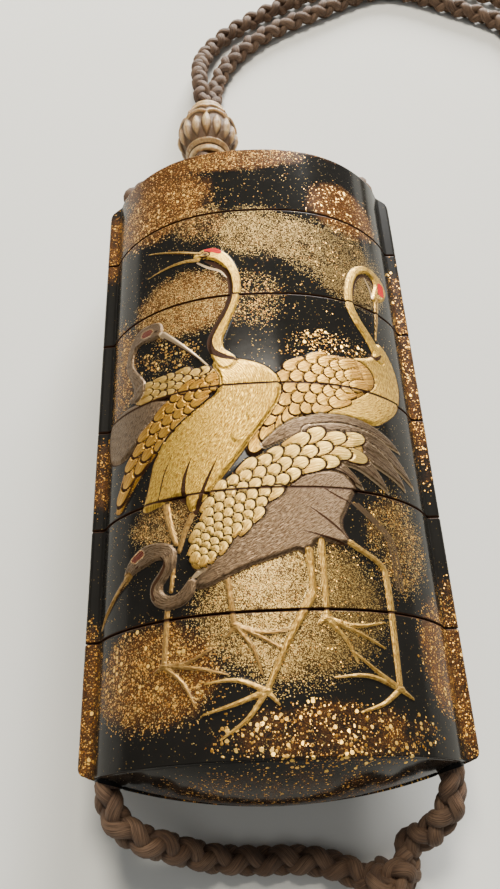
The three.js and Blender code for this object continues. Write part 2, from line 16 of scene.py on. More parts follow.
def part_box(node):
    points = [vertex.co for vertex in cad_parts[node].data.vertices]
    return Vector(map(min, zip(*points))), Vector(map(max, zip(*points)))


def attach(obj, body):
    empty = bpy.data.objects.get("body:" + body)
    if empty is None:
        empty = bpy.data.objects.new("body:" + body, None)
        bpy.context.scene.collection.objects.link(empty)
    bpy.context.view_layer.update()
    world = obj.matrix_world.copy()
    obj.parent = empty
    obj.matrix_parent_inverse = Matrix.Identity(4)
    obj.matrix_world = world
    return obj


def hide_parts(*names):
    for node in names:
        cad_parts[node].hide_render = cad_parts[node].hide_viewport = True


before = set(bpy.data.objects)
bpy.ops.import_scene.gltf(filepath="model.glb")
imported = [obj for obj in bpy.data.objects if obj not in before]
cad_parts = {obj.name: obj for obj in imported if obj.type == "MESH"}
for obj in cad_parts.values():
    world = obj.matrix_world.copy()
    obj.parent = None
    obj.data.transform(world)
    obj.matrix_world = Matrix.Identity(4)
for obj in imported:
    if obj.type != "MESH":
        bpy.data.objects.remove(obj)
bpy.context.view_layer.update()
MM = 0.001
print("nodes:", sorted(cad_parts))

# %% [markdown]
# ## Camera
# The picture was taken by hand from close above the lower end of the case, so the lid looks
# narrower than the foot. A short lens near the object gives that strong perspective. The
# camera and the cords come first, because how much of a cord is seen depends on both.

# %% Place the camera
camera = bpy.data.objects.new("camera", bpy.data.cameras.new("camera"))
bpy.context.scene.collection.objects.link(camera)
bpy.context.scene.camera = camera
camera.data.sensor_fit = "AUTO"
camera.data.sensor_width = 36
camera.data.lens = 31.29
camera.data.clip_start = 0.005
camera.data.clip_end = 20
look = Vector((0.0084, 0.4742, -0.8804)).normalized()
right = Vector((0.9991, -0.0396, -0.0133))
right = (right - look * right.dot(look)).normalized()
up = right.cross(look)
camera_place = Vector((-2.671, -55.087, 111.022)) * MM
camera.matrix_world = (
    Matrix.Translation(camera_place) @ Matrix((right, up, -look)).transposed().to_4x4()
)
print("camera at", tuple(round(v, 4) for v in camera_place))

# %% [markdown]
# ## Sums that come back
# A few small sums are needed all the way through: soft steps and rises, vectors one unit long,
# and lines whose points lie evenly.

# %% Small sums
def ramp(value, low, high):
    """A smooth step from 0 at low to 1 at high."""
    u = np.clip((value - low) / (high - low), 0, 1)
    return u * u * (3 - 2 * u)


def bump(value, middle, half):
    """A rounded rise of height 1 over a short stretch."""
    u = np.clip(np.abs(value - middle) / half, 0, 1)
    return (1 - u * u) ** 2


def unit(vectors):
    """The same vectors, each one unit long."""
    return vectors / np.maximum(np.linalg.norm(vectors, axis=-1, keepdims=True), 1e-12)


def walked_along(line):
    """How far along a line each of its points lies."""
    return np.concatenate([[0], np.cumsum(np.linalg.norm(np.diff(line, axis=0), axis=1))])


def evenly(line, step):
    """The same line with its points an even step apart."""
    walked = walked_along(line)
    at = np.linspace(0, walked[-1], max(2, int(round(walked[-1] / step)) + 1))
    return np.stack([np.interp(at, walked, column) for column in line.T], axis=1)

# %% [markdown]
# ## Meshes from rows of points
# Every curved piece here is a sheet of points in rows and columns, closed round in one or both
# directions. One helper turns such a sheet into a mesh, and the same helper keeps a number for
# each point, such as a distance to a drawn line, which the finishes read as an attribute.

# %% Turn sheets of points into a mesh
def sheet_faces(rows, columns, first=0, close_rows=False):
    """Four-sided faces between neighbouring rows and columns of points."""
    r = np.arange(rows if close_rows else rows - 1)
    r, c = np.meshgrid(r, np.arange(columns), indexing="ij")
    r2, c2 = (r + 1) % rows, (c + 1) % columns
    corners = [r * columns + c, r * columns + c2, r2 * columns + c2, r2 * columns + c]
    return first + np.stack(corners, axis=-1).reshape(-1, 4)


def make_piece(name, points, quads, notes, flat_faces=None):
    """A mesh object from points in millimetres, with a number or a vector per point in notes."""
    faces = [np.asarray(q, dtype=np.int64) for q in (quads, flat_faces) if q is not None]
    sizes = np.concatenate([np.full(len(f), f.shape[1]) for f in faces])
    corners = np.concatenate([f.ravel() for f in faces]).astype(np.int32)
    mesh = bpy.data.meshes.new(name)
    mesh.vertices.add(len(points))
    mesh.vertices.foreach_set("co", (np.asarray(points) * MM).astype(np.float32).ravel())
    mesh.loops.add(len(corners))
    mesh.loops.foreach_set("vertex_index", corners)
    mesh.polygons.add(len(sizes))
    starts = np.concatenate([[0], np.cumsum(sizes)[:-1]])
    mesh.polygons.foreach_set("loop_start", starts.astype(np.int32))
    mesh.update(calc_edges=True)
    mesh.polygons.foreach_set("use_smooth", np.arange(len(sizes)) < len(faces[0]))
    for note, values in notes.items():
        values = np.asarray(values, dtype=np.float32)
        kind, field = ("FLOAT_VECTOR", "vector") if values.ndim == 2 else ("FLOAT", "value")
        mesh.attributes.new(note, kind, "POINT").data.foreach_set(field, values.ravel())
    piece = bpy.data.objects.new(name, mesh)
    bpy.context.scene.collection.objects.link(piece)
    print(name, "has", len(points), "points and", len(sizes), "faces")
    return piece

# %% [markdown]
# ## The plaited cord
# The cord is a round plait of four silk strands. Two strands wind one way and two the other,
# and each goes over and under the strands that it meets, which shows as two rows of slanting
# lobes. A smooth line through the route's points carries the plait. At each place along it a
# frame that never twists says which way is up, so the two rows stay in sight from above.

# %% Smooth lines through points
def smooth_line(points, step):
    """Points an even step apart on a rounded line through the given ones, and its length."""
    p = np.asarray(points, dtype=float)
    ghost = np.vstack([2 * p[0] - p[1], p, 2 * p[-1] - p[-2]])
    pieces = []
    for i in range(len(p) - 1):
        a, b, c, d = ghost[i:i + 4]
        apart = [np.linalg.norm(v - u) ** 0.5 for u, v in ((a, b), (b, c), (c, d))]
        knots = np.cumsum([0.0] + apart)
        t = np.linspace(knots[1], knots[2], 40, endpoint=i == len(p) - 2)[:, None]

        def blend(u, v, low, high):
            return (u * (high - t) + v * (t - low)) / (high - low)

        ab, bc, cd = blend(a, b, *knots[0:2]), blend(b, c, *knots[1:3]), blend(c, d, *knots[2:4])
        abc, bcd = blend(ab, bc, knots[0], knots[2]), blend(bc, cd, knots[1], knots[3])
        pieces.append(blend(abc, bcd, knots[1], knots[2]))
    fine = np.vstack(pieces)
    return evenly(fine, step), walked_along(fine)[-1]


def frames_along(line, closed):
    """Unit vectors to a line's side and upwards, for every point of it."""
    ahead = np.roll(line, -1, 0) - np.roll(line, 1, 0) if closed else np.gradient(line, axis=0)
    ahead = unit(ahead)
    side = unit(np.cross(ahead, (0.0, 0.0, 1.0)))
    return side, np.cross(side, ahead)

# %% Plait four strands along a line
PLAIT = 3.7  # thickness of the cord
HELD = 3.0  # thickness where it is pressed in a channel
LOBE = 4.25  # from one lobe to the next in a row
BURIED, DIVE = 0.225, 0.095  # a strand's mean distance from the middle, and how far it dives
STRAND_WIDE, STRAND_THICK = 0.245, 0.2  # half-sizes of a strand; all four are shares of PLAIT
THREAD_SHIFT = 13.7  # so that no strand's threads repeat its neighbour's
FADE = 2.6  # length over which the cord widens beyond a channel


def plait(line, thickness, sides, closed=False):
    """Points, faces and notes of four strands that cross over and under along a line."""
    side, above = frames_along(line, closed)
    walked = walked_along(line)
    thickness = np.broadcast_to(thickness, walked.shape)
    total = walked[-1] + (np.linalg.norm(line[0] - line[-1]) if closed else 0)
    turns = total / (2 * LOBE)
    if closed:
        turns = max(1, round(turns))
    wind = 2 * math.pi * turns * walked / total
    around = 2 * math.pi * np.arange(sides) / sides
    points, faces, threads = [], [], []
    for strand in range(4):
        way = 1 if strand % 2 == 0 else -1
        turn = way * wind + math.pi * (strand // 2) + (math.pi if way > 0 else math.pi / 2)
        over = way * np.cos(2 * (turn - math.pi / 4))
        spoke = np.cos(turn)[:, None] * side + np.sin(turn)[:, None] * above
        middle = line + (thickness * (BURIED + DIVE * over))[:, None] * spoke
        slant = unit(np.gradient(middle, axis=0))
        out = unit(spoke - slant * (spoke * slant).sum(1, keepdims=True))
        wide = np.cross(slant, out)
        half_wide = thickness * (STRAND_WIDE + 0.02 * over)
        half_thick = thickness * STRAND_THICK
        ring = (
            middle[:, None]
            + (np.cos(around)[None, :, None] * half_wide[:, None, None]) * wide[:, None]
            + (np.sin(around)[None, :, None] * half_thick[:, None, None]) * out[:, None]
        )
        faces.append(sheet_faces(len(line), sides, sum(map(len, points)), closed))
        points.append(ring.reshape(-1, 3))
        along = np.repeat(walked, sides) + THREAD_SHIFT * strand
        across = np.tile(np.minimum(around, 2 * math.pi - around), len(line))
        # the third number, how far a strand lies over the others, is later used to paint shade
        # where it dives under
        threads.append(np.stack([along, across, np.repeat(over, sides)], axis=1))
    return np.vstack(points), np.vstack(faces), {"thread": np.vstack(threads)}


def end_fade(line):
    """Thickness that grows from that in a channel to the free cord's at both ends of a line."""
    walked = walked_along(line)
    near = np.minimum(walked, walked[-1] - walked)
    return HELD + (PLAIT - HELD) * ramp(near, 0, FADE)

# %% [markdown]
# ## Where the cord lies
# The cord runs inside both side channels of the case. Below the case it is knotted, and above
# the lid both ends pass through the bead, one over the other, and go on as a doubled loop that
# would hold the toggle at the sash. It is limp silk, so it comes down from the channels at once
# and lies on the table. The loop's far bend lies just outside the picture.

# %% The route of the cord, from the model
MIDDLE = 11.85  # height of the middle of the case and of its cord channels
CHANNEL = 20.3  # from the middle to a cord channel
LYING = 1.85  # height of the middle of a cord that lies on the table
MOUTH, IN_CHANNEL = 47.53, 45.6  # where the cord leaves a channel, and a place just inside
BEAD_X, BEAD_Y = -7.2, 70.2
bead_low, bead_high = (np.array(p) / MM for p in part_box("ojime_bead"))
bead_rise = float((bead_low + bead_high)[2] / 2)
print("the bead's middle is", round(bead_rise, 2), "above the table; it measures",
      (bead_high - bead_low).round(2))
upper, lower = bead_rise + 2.05, bead_rise - 2.05  # heights of the strands beside the bead
high_hole, low_hole = bead_rise + 1.35, bead_rise - 1.35  # and inside it
lid_to_bead_left = [
    (-CHANNEL, MOUTH, MIDDLE), (-20.2, 49.3, 11.4), (-19.3, 51.4, 10.3), (-17.4, 53.4, 9.0),
    (-14.8, 55.1, 7.9), (-12.2, 56.4, 7.3), (-10.0, 58.0, 7.4), (-8.5, 60.0, 7.8),
    (-8.0, 61.7, upper), (-8.0, 62.9, upper),
]
lid_to_bead_right = [
    (CHANNEL, MOUTH, MIDDLE), (20.2, 49.3, 11.3), (19.1, 51.4, 9.9), (17.0, 53.2, 8.0),
    (13.9, 54.5, 6.0), (10.0, 55.1, 4.2), (5.7, 55.3, 3.0), (1.4, 55.8, 2.4), (-2.2, 57.1, 2.5),
    (-4.9, 58.8, 3.0), (-6.0, 60.4, 3.5), (-6.4, 61.7, lower), (-6.4, 62.9, lower),
]
loop_on_table = [
    (0.2, 102.2), (5.1, 107.3), (10.3, 111.0), (15.5, 114.0), (20.9, 117.0), (25.6, 119.7),
    (30.2, 121.8), (35.0, 122.6), (39.7, 121.4), (45.1, 118.6), (49.9, 115.5), (55.1, 112.3),
    (59.3, 108.8), (61.2, 104.1), (62.6, 98.8), (63.4, 93.2), (65.2, 87.9), (69.2, 84.2),
    (74.6, 83.7), (78.9, 87.2), (80.1, 92.6), (78.2, 98.6), (74.7, 104.6), (69.6, 110.5),
    (63.4, 116.2), (54.8, 121.4), (45.6, 125.6), (36.0, 127.4), (27.4, 126.8), (19.6, 123.6),
    (12.8, 119.8), (7.2, 116.2), (2.0, 112.4), (-2.2, 108.6),
]
netsuke_loop = [
    (-6.4, 77.5, lower), (-6.2, 80.2, 3.5), (-5.9, 85.4, 2.7), (-5.2, 91.3, 1.9),
    (-3.3, 96.8, LYING), *((x, y, LYING) for x, y in loop_on_table), (-5.6, 104.4, 1.9),
    (-7.9, 98.4, 3.2), (-8.7, 91.4, 5.6), (-8.5, 85.2, 7.3), (-8.1, 80.2, 7.9),
    (-8.0, 77.5, upper),
]
bottom_left = [
    (-CHANNEL, -MOUTH, MIDDLE), (-19.5, -49.9, 11.4), (-17.7, -51.7, 10.7), (-15.6, -52.7, 9.5),
    (-13.8, -53.2, 7.7), (-12.2, -53.7, 5.7), (-10.3, -54.2, 3.9), (-8.0, -54.7, 2.7),
    (-5.5, -54.9, 2.0), (-2.9, -55.1, LYING), (-0.3, -55.1, LYING), (2.3, -55.2, LYING),
    (4.9, -55.6, 1.9), (7.1, -56.2, 2.1), (8.9, -57.0, 2.3),
]
in_knot = [(10.8, -57.9, 2.9), (12.6, -58.2, 3.6), (14.2, -57.4, 4.2), (15.1, -55.8, 4.4)]
bottom_right = [
    (CHANNEL, -MOUTH, MIDDLE), (20.1, -49.5, 11.1), (19.4, -51.1, 10.0), (18.4, -52.3, 8.4),
    (17.3, -53.1, 6.6), (16.4, -53.5, 5.2), (15.5, -54.1, 4.3),
]

# %% Plait the cord above the lid and through the bead
def through_bead(x, beside, inside):
    """The few points where a strand narrows to pass through the bead, away from the lid."""
    return [
        (x, 64.6, beside), (BEAD_X, 67.6, inside), (BEAD_X, 72.8, inside), (x, 75.8, beside)
    ]


top_line, top_length = smooth_line(
    [(-CHANNEL, IN_CHANNEL, MIDDLE)]
    + lid_to_bead_left
    + through_bead(-7.3, high_hole + 0.1, high_hole)
    + netsuke_loop[::-1]
    + through_bead(-7.1, low_hole - 0.1, low_hole)[::-1]
    + lid_to_bead_right[::-1]
    + [(CHANNEL, IN_CHANNEL, MIDDLE)],
    step=0.4,
)
PRESSED = 2.5  # thickness inside the bead
out_of_bead = ramp(np.abs(top_line[:, 1] - BEAD_Y), 6.6, 9.0)
top_thickness = np.minimum(end_fade(top_line), PRESSED + (PLAIT - PRESSED) * out_of_bead)
top_cord = make_piece("silk_cord_above_lid", *plait(top_line, top_thickness, 8))

# %% [markdown]
# ## The knot
# Below the case the two ends of the cord are tied together and the knot is drawn tight, so it
# reads as a fat, rounded lump of the same plait. A closed line that crosses itself three times,
# a trefoil, is a real knot, and a thinner plait along it fills the lump.

# %% Tie the knot
knot_low, knot_high = (np.array(p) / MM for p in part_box("bottom_knot"))
print("the knot measures", (knot_high - knot_low).round(2))
turn = np.linspace(0, 2 * math.pi, 150, endpoint=False)
trefoil = np.stack(
    [
        np.sin(turn) + 2 * np.sin(2 * turn),
        np.cos(turn) - 2 * np.cos(2 * turn),
        -1.1 * np.sin(3 * turn),
    ],
    axis=1,
)
KNOT_PLAIT = 3.0  # thickness of the tight cord in the knot
trefoil *= (knot_high - knot_low - KNOT_PLAIT) / np.ptp(trefoil, axis=0)
trefoil += (knot_low + knot_high) / 2 - (trefoil.max(0) + trefoil.min(0)) / 2
knot = make_piece("silk_knot", *plait(trefoil, KNOT_PLAIT, 12, closed=True))

# %% Plait the cord below the case
bottom_line, bottom_length = smooth_line(
    [(-CHANNEL, -IN_CHANNEL, MIDDLE)]
    + bottom_left
    + in_knot
    + bottom_right[::-1]
    + [(CHANNEL, -IN_CHANNEL, MIDDLE)],
    step=0.3,
)
bottom_cord = make_piece(
    "silk_cord_below_case", *plait(bottom_line, end_fade(bottom_line), 12)
)
print("cord lengths:", round(top_length, 1), round(bottom_length, 1))

# %% [markdown]
# ## The section of the case
# Cut across, the case is a flattened oval that ends in a thin ridge on each side. The section
# is drawn once, from the right ridge over the front to the left ridge and back underneath.
# The front gets close columns for the raised lacquer, and the back needs far fewer.

# %% Draw the section
HALF_WIDTH, HALF_THICKNESS = 24.0, 12.05
SWELL = 22.25  # half the width of the swollen body, without the ridges
SIDE_POWER, CROWN_POWER = 2.4, 1.35  # how full the swell is towards its sides and its crown
RIDGE = 0.6  # half the thickness of a ridge
MEET = 0.975  # height where the hollow beside a ridge starts
BACK = -11.85  # the back is eased flat here
CLOSE = 0.155  # between points of the front, where the lacquer is raised
UNDER = [1, -1]  # turns a curve of the front into one of the back
OPPOSITE = [-1, 1]  # turns a curve on the right into one on the left

root = SWELL * (1 - (MEET / HALF_THICKNESS) ** CROWN_POWER) ** (1 / SIDE_POWER)
angle = np.linspace(math.asin(root / SWELL), -math.asin(root / SWELL), 4001)
front_x = SWELL * np.sin(angle)
share = np.clip(np.abs(front_x) / SWELL, 0, 1)
front_height = HALF_THICKNESS * (1 - share ** SIDE_POWER) ** (1 / CROWN_POWER)
front_curve = evenly(np.stack([front_x, front_height], axis=1), CLOSE)
t = np.linspace(0, 1, 7)[:, None]
hollow = (
    (1 - t) ** 2 * np.array([root, MEET])
    + 2 * t * (1 - t) * np.array([root + 0.25, RIDGE])
    + t ** 2 * np.array([root + 0.75, RIDGE])
)
t = np.linspace(math.pi / 2, -math.pi / 2, 11)
tip = np.stack([HALF_WIDTH - RIDGE + RIDGE * np.cos(t), RIDGE * np.sin(t)], axis=1)
right_side = np.vstack([hollow * UNDER, tip[::-1][1:], hollow[::-1][1:]])
left_side = right_side[::-1] * OPPOSITE
back_far = evenly(front_curve[np.abs(front_curve[:, 0]) < 17] * UNDER, 0.8)
back_near = evenly(front_curve[front_curve[:, 0] >= 17] * UNDER, 0.3)
back_curve = np.vstack([back_near * OPPOSITE, back_far[::-1][1:-1], back_near[::-1]])
back_curve[:, 1] = np.maximum(back_curve[:, 1], BACK)
section = np.vstack([right_side[:-1], front_curve, left_side[1:-1], back_curve[:-1]])
gaps = np.linalg.norm(section - np.roll(section, 1, 0), axis=1)
section = section[gaps > 1e-4]
ahead = np.roll(section, -1, 0) - np.roll(section, 1, 0)
section_out = unit(np.stack([ahead[:, 1], -ahead[:, 0]], axis=1))
on_front = (section[:, 1] > MEET * 0.999) & (np.abs(section[:, 0]) < root + 1e-3)
print("the section has", len(section), "points,", int(on_front.sum()), "of them on the front;",
      "steps", gaps.min().round(3), "to", gaps.max().round(3))

# %% [markdown]
# ## The six sections
# The lid and the five boxes meet at fine seams, with edges softly rounded. The lid's top and
# the lowest box's underside are gently domed, and the cord's channels open near the tips of
# the ridges. The hidden insides (the lips, the hollows, the floors) are taken over from the
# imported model, so every box stays empty.

# %% Shape the walls and the domed ends
EDGES = [45.8, 32.6, 16.3, 0.9, -14.5, -29.9, -45.8]  # top edge, five seams, bottom edge
SEAM = 0.2
ROUND = 0.13  # how softly the edges at the seams are rounded
FOLD = 0.5  # how far a seam's edge is turned in
DOME, DOME_POWER = 3.8, 1.9
RIM = 0.45  # how softly a wall turns into a dome
SHOULDERS = 3.2, 1.5  # radius of the ridges' corners at the lid and at the foot
BORE = 1.7  # radius of a cord channel
SECTION_NAMES = ["lid", "case_1", "case_2", "case_3", "case_4", "case_5"]


def shoulder_drop(x, radius):
    """How far a rounded shoulder has dropped near the tip of a ridge."""
    into = np.clip(np.abs(x) - (HALF_WIDTH - radius), 0, radius)
    return radius - np.sqrt(radius ** 2 - into ** 2)


def wall_rows(low, high, low_round, high_round):
    """Heights along the case and how far each row is drawn in at the rounded edges."""
    first, last = low + ROUND * low_round, high - ROUND * high_round
    rows = np.linspace(first, last, int((last - first) / CLOSE) + 1)
    draws = np.zeros(len(rows))
    turns = np.linspace(0, math.pi / 2, 5)[1:]
    to_edge = np.append(ROUND * (1 - np.sin(turns)), 0.0)
    inward = np.append(ROUND * (1 - np.cos(turns)), FOLD)
    if low_round:
        rows, draws = np.append((low + to_edge)[::-1], rows), np.append(inward[::-1], draws)
    if high_round:
        rows, draws = np.append(rows, high - to_edge), np.append(draws, inward)
    return rows, draws


def skin_of(index):
    """Rows of outer points for one section, with the share towards the middle of a domed end."""
    is_lid, is_foot = index == 0, index == 5
    low = EDGES[index + 1] + (0 if is_foot else SEAM / 2)
    high = EDGES[index] - (0 if is_lid else SEAM / 2)
    rows, draws = wall_rows(low, high, not is_foot, not is_lid)
    x, z = section[:, 0], section[:, 1]
    px = x - draws[:, None] * section_out[:, 0]
    pz = z - draws[:, None] * section_out[:, 1]
    py = rows[:, None] * np.ones(len(x))
    share = np.ones_like(px)
    if not (is_lid or is_foot):
        return px, py, pz, share
    way, edge, seam = (1, high, low) if is_lid else (-1, low, high)
    drop = way * shoulder_drop(x, SHOULDERS[index > 0])
    py = py - (py - seam) / (edge - seam) * drop
    # share left of the way from the dome's middle: close rows near the rim, wider ones inside
    s = np.append(np.linspace(1, 0.7, 36)[1:], np.linspace(0.7, 0.02, 26)[1:])[:, None]
    reach = (1 - s) * np.hypot(x, z)  # how far in from the rim, roughly
    rim = np.clip(1 - reach / RIM, 0, 1)
    sag = RIM * 0.55 * (1 - np.sqrt(np.clip(1 - rim ** 2, 0, 1)))
    dy = edge + way * (DOME * (1 - s ** DOME_POWER) - sag) - drop * s ** 6
    ends = (s * x, dy, s * z, s * np.ones_like(dy))
    if is_lid:
        return [np.vstack([wall, end]) for wall, end in zip((px, py, pz, share), ends)]
    return [np.vstack([end[::-1], wall]) for wall, end in zip((px, py, pz, share), ends)]


def outward(px, py, pz):
    """Unit vectors out of the surface for rows of points."""
    p = np.stack([px, py, pz], axis=-1)
    return unit(np.cross(np.gradient(p, axis=0), np.roll(p, -1, 1) - np.roll(p, 1, 1)))

# %% [markdown]
# ## Insides taken over from the model
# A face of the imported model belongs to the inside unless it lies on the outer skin. The skin
# is told by how full of the section a face's middle is, and by which way the domed ends face.

# %% Pick the inner faces of a packed section
INSIDE = 0.86  # a face whose middle is less full of the section than this is inside


def inner_faces(name, index):
    """Points and three-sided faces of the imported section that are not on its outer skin."""
    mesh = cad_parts[name].data
    place = np.array(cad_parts[name].matrix_world)
    corners = np.zeros(len(mesh.vertices) * 3, dtype=np.float32)
    mesh.vertices.foreach_get("co", corners)
    corners = corners.reshape(-1, 3) @ place[:3, :3].T + place[:3, 3]
    corners = corners / MM - [0, 0, MIDDLE]
    mesh.calc_loop_triangles()
    tri = np.zeros(len(mesh.loop_triangles) * 3, dtype=np.int32)
    mesh.loop_triangles.foreach_get("vertices", tri)
    tri = tri.reshape(-1, 3)
    a, b, c = (corners[tri[:, k]] for k in range(3))
    facing = unit(np.cross(b - a, c - a))[:, 1]  # 1 faces the lid's end, -1 the foot's
    x, y, z = ((a + b + c) / 3).T
    full = (np.abs(x) / SWELL) ** SIDE_POWER + (np.abs(z) / HALF_THICKNESS) ** CROWN_POWER
    in_channel = np.abs(facing) < 0.3
    for corner in (a, b, c):
        in_channel &= np.hypot(np.abs(corner[:, 0]) - CHANNEL, corner[:, 2]) < BORE + 0.06
    ends = [EDGES[1] + 0.15]
    if index:
        ends = [EDGES[min(index + 1, 5)] + 0.15, EDGES[index] - 0.15]
    at_end = np.min([np.abs(y - end) for end in ends], axis=0) < 0.02  # the seams' flat faces
    flat_end = (np.abs(facing) > 0.999) & at_end & (full < 1.002)
    inner = in_channel | flat_end | (full < INSIDE)
    if index == 0:  # not the lid's domed top
        inner &= ~((facing > 0.02) & ~in_channel & (y > EDGES[0] - 3.4))
    if index == 5:  # not the foot's domed underside
        inner &= ~((facing < -0.02) & ~in_channel & (y < EDGES[-1] + 1.7))
    used, renumbered = np.unique(tri[inner], return_inverse=True)
    return corners[used] + [0, 0, MIDDLE], renumbered.reshape(-1, 3)


def round_mouths(px, py, pz, way):
    """Pull a domed end's points to the channels' mouths, soften the edges, mark what is cut."""
    lip, catch, end = 0.3, 0.09, 44.0  # softness, how near a point is pulled, where the end starts
    inside = np.zeros(px.shape, dtype=bool)
    for side in (-1, 1):
        dx, dz = px - side * CHANNEL, pz
        away = np.hypot(dx, dz)
        near = (way * py > end) & (away < BORE + lip + 0.4)
        cut = near & (away < BORE - catch)
        inside |= cut
        pull = near & (away < BORE + catch) & ~cut
        scale = np.where(pull, BORE / np.maximum(away, 1e-6), 1.0)
        px = np.where(pull, side * CHANNEL + dx * scale, px)
        pz = np.where(pull, dz * scale, pz)
        away = np.where(pull, BORE, away)
        into = np.clip(1 - (away - BORE) / lip, 0, 1)
        py = np.where(near, py - way * lip * 0.7 * (1 - np.sqrt(1 - into ** 2)), py)
    return px, py, pz, inside

# %% [markdown]
# ## Drawing the cranes
# The figures are drawn flat, looking straight down on the front, with strokes and outlines in
# millimetres. Every stroke is a middle line with a half-width at each of its points. For each
# point of the front the drawing keeps how far it lies inside each colour of lacquer: gold,
# silver, pale, dark line and red. A new shape covers what is under it, as a painter's brush
# does, so the far figures come first. A distance stays crisp between points, so fine lines
# need no picture.

# %% Brushes
# the dark line kind holds the drawn lines, and also the painted shade laid at the seams when a
# section is built
KINDS = ["gold", "silver", "pale", "ink_and_seam_shade", "red"]
# What kind of hairs a point has, which the finish reads: up to 1 more is warmer in FEATHERS
BODY_HAIRS, NECK_HAIRS, FEATHERS, LIMB, CHEEK = 1.0, 2.0, 3.0, 4.0, 5.0
FEATHER_FROM = 40  # the middle of a feather, along its hairs
TIP = 2.3  # how round a feather's end is
FEATHER_RIM = 0.14  # width of the dark line round a feather
OVERLAP = 0.84  # of a feather's width is left between it and the next in its row


class Drawing:
    """What is drawn on the front: distances, height and grain for every point."""

    def __init__(self, x, y):
        self.x, self.y = x, y
        self.inside = {kind: np.full(x.shape, -1.0) for kind in KINDS}
        self.rise = np.zeros(x.shape)
        self.grain = np.zeros(x.shape + (3,))

    def near(self, low, high, margin=1.0):
        """Numbers of the points in a box round a shape."""
        return np.nonzero(
            (self.x > low[0] - margin) & (self.x < high[0] + margin)
            & (self.y > low[1] - margin) & (self.y < high[1] + margin)
        )[0]

    def lay(self, at, kind, inside, rise=None, edge=0.22):
        """Lay a colour over the points where inside is above zero."""
        inside = np.clip(inside, -1.0, 1.0)
        for other in KINDS:
            if other != kind:
                self.inside[other][at] = np.minimum(self.inside[other][at], -inside)
        self.inside[kind][at] = np.maximum(self.inside[kind][at], inside)
        if rise is not None:
            lifted = self.rise[at] * 0.25 + rise * ramp(inside, -0.04, edge)
            self.rise[at] = np.where(inside > 0, lifted, self.rise[at])

    def comb(self, at, on, along, across, kind_of):
        """Keep the place along and across the hairs, and what kind of hairs they are."""
        kinds = np.full(on.sum(), float(kind_of))
        self.grain[at[on]] = np.stack([along[on], across[on], kinds], axis=1)


def soft_points(points, step=0.5):
    """A rounded line through points with half-widths."""
    return smooth_line(points, step)[0] if len(points) > 2 else np.asarray(points, dtype=float)


def stroke_inside(line, x, y):
    """How far points lie inside a stroke, and their place along and across it."""
    best = np.full(x.shape, -9.0)
    along, across = np.zeros(x.shape), np.zeros(x.shape)
    walked = 0.0
    for a, b in zip(line[:-1], line[1:]):
        step = b[:2] - a[:2]
        long = float(np.hypot(*step))
        if long < 1e-6:
            continue
        ux, uy = step / long
        t = np.clip(((x - a[0]) * ux + (y - a[1]) * uy) / long, 0, 1)
        dx, dy = x - a[0] - t * step[0], y - a[1] - t * step[1]
        inside = a[2] + t * (b[2] - a[2]) - np.hypot(dx, dy)
        better = inside > best
        best = np.where(better, inside, best)
        along = np.where(better, walked + t * long, along)
        across = np.where(better, (x - a[0]) * uy - (y - a[1]) * ux, across)
        walked += long
    return best, along, across


def stroke(drawing, kind, points, rise=None, edge=0.22, grow=0.0, grain=None):
    """Draw one stroke, with its hairs running along it."""
    line = soft_points(points)
    wide = line[:, 2].max() + abs(grow)
    at = drawing.near(line[:, :2].min(0), line[:, :2].max(0), wide + 1.0)
    inside, along, across = stroke_inside(line, drawing.x[at], drawing.y[at])
    if grain is not None:
        drawing.comb(at, inside + grow > -0.1, along, across, grain)
    drawing.lay(at, kind, inside + grow, rise, edge)


def ink_line(drawing, points):
    """A thin dark line that is not raised."""
    stroke(drawing, "ink_and_seam_shade", points)


def rounded(polygon):
    """A closed outline with its corners cut twice, so that it curves."""
    p = np.asarray(polygon, dtype=float)
    for _ in range(2):
        after = np.roll(p, -1, 0)
        p = np.stack([0.75 * p + 0.25 * after, 0.25 * p + 0.75 * after], axis=1).reshape(-1, 2)
    return p


def outline_inside(polygon, x, y):
    """How far points lie inside a closed outline, below zero outside."""
    near = np.full(x.shape, 9.0)
    within = np.zeros(x.shape, dtype=bool)
    for a, b in zip(polygon, np.roll(polygon, -1, 0)):
        step = b - a
        t = np.clip(((x - a[0]) * step[0] + (y - a[1]) * step[1]) / (step @ step + 1e-12), 0, 1)
        near = np.minimum(near, np.hypot(x - a[0] - t * step[0], y - a[1] - t * step[1]))
        crosses = ((a[1] > y) != (b[1] > y)) & (
            x < a[0] + (y - a[1]) * step[0] / (step[1] if abs(step[1]) > 1e-9 else 1e-9)
        )
        within ^= crosses
    return np.where(within, near, -near)


def body(drawing, kind, polygon, hairs, rise=0.32):
    """Draw a body: a closed outline whose hairs run along a line down its middle."""
    shape = rounded(polygon)
    at = drawing.near(shape.min(0), shape.max(0))
    inside = outline_inside(shape, drawing.x[at], drawing.y[at])
    drawing.lay(at, "ink_and_seam_shade", inside + 0.13)
    hairs = np.asarray([(px, py, 1.0) for px, py in hairs])
    _, along, across = stroke_inside(soft_points(hairs), drawing.x[at], drawing.y[at])
    drawing.comb(at, inside > -0.1, along, across, BODY_HAIRS)
    drawing.lay(at, kind, inside, rise, 0.5)


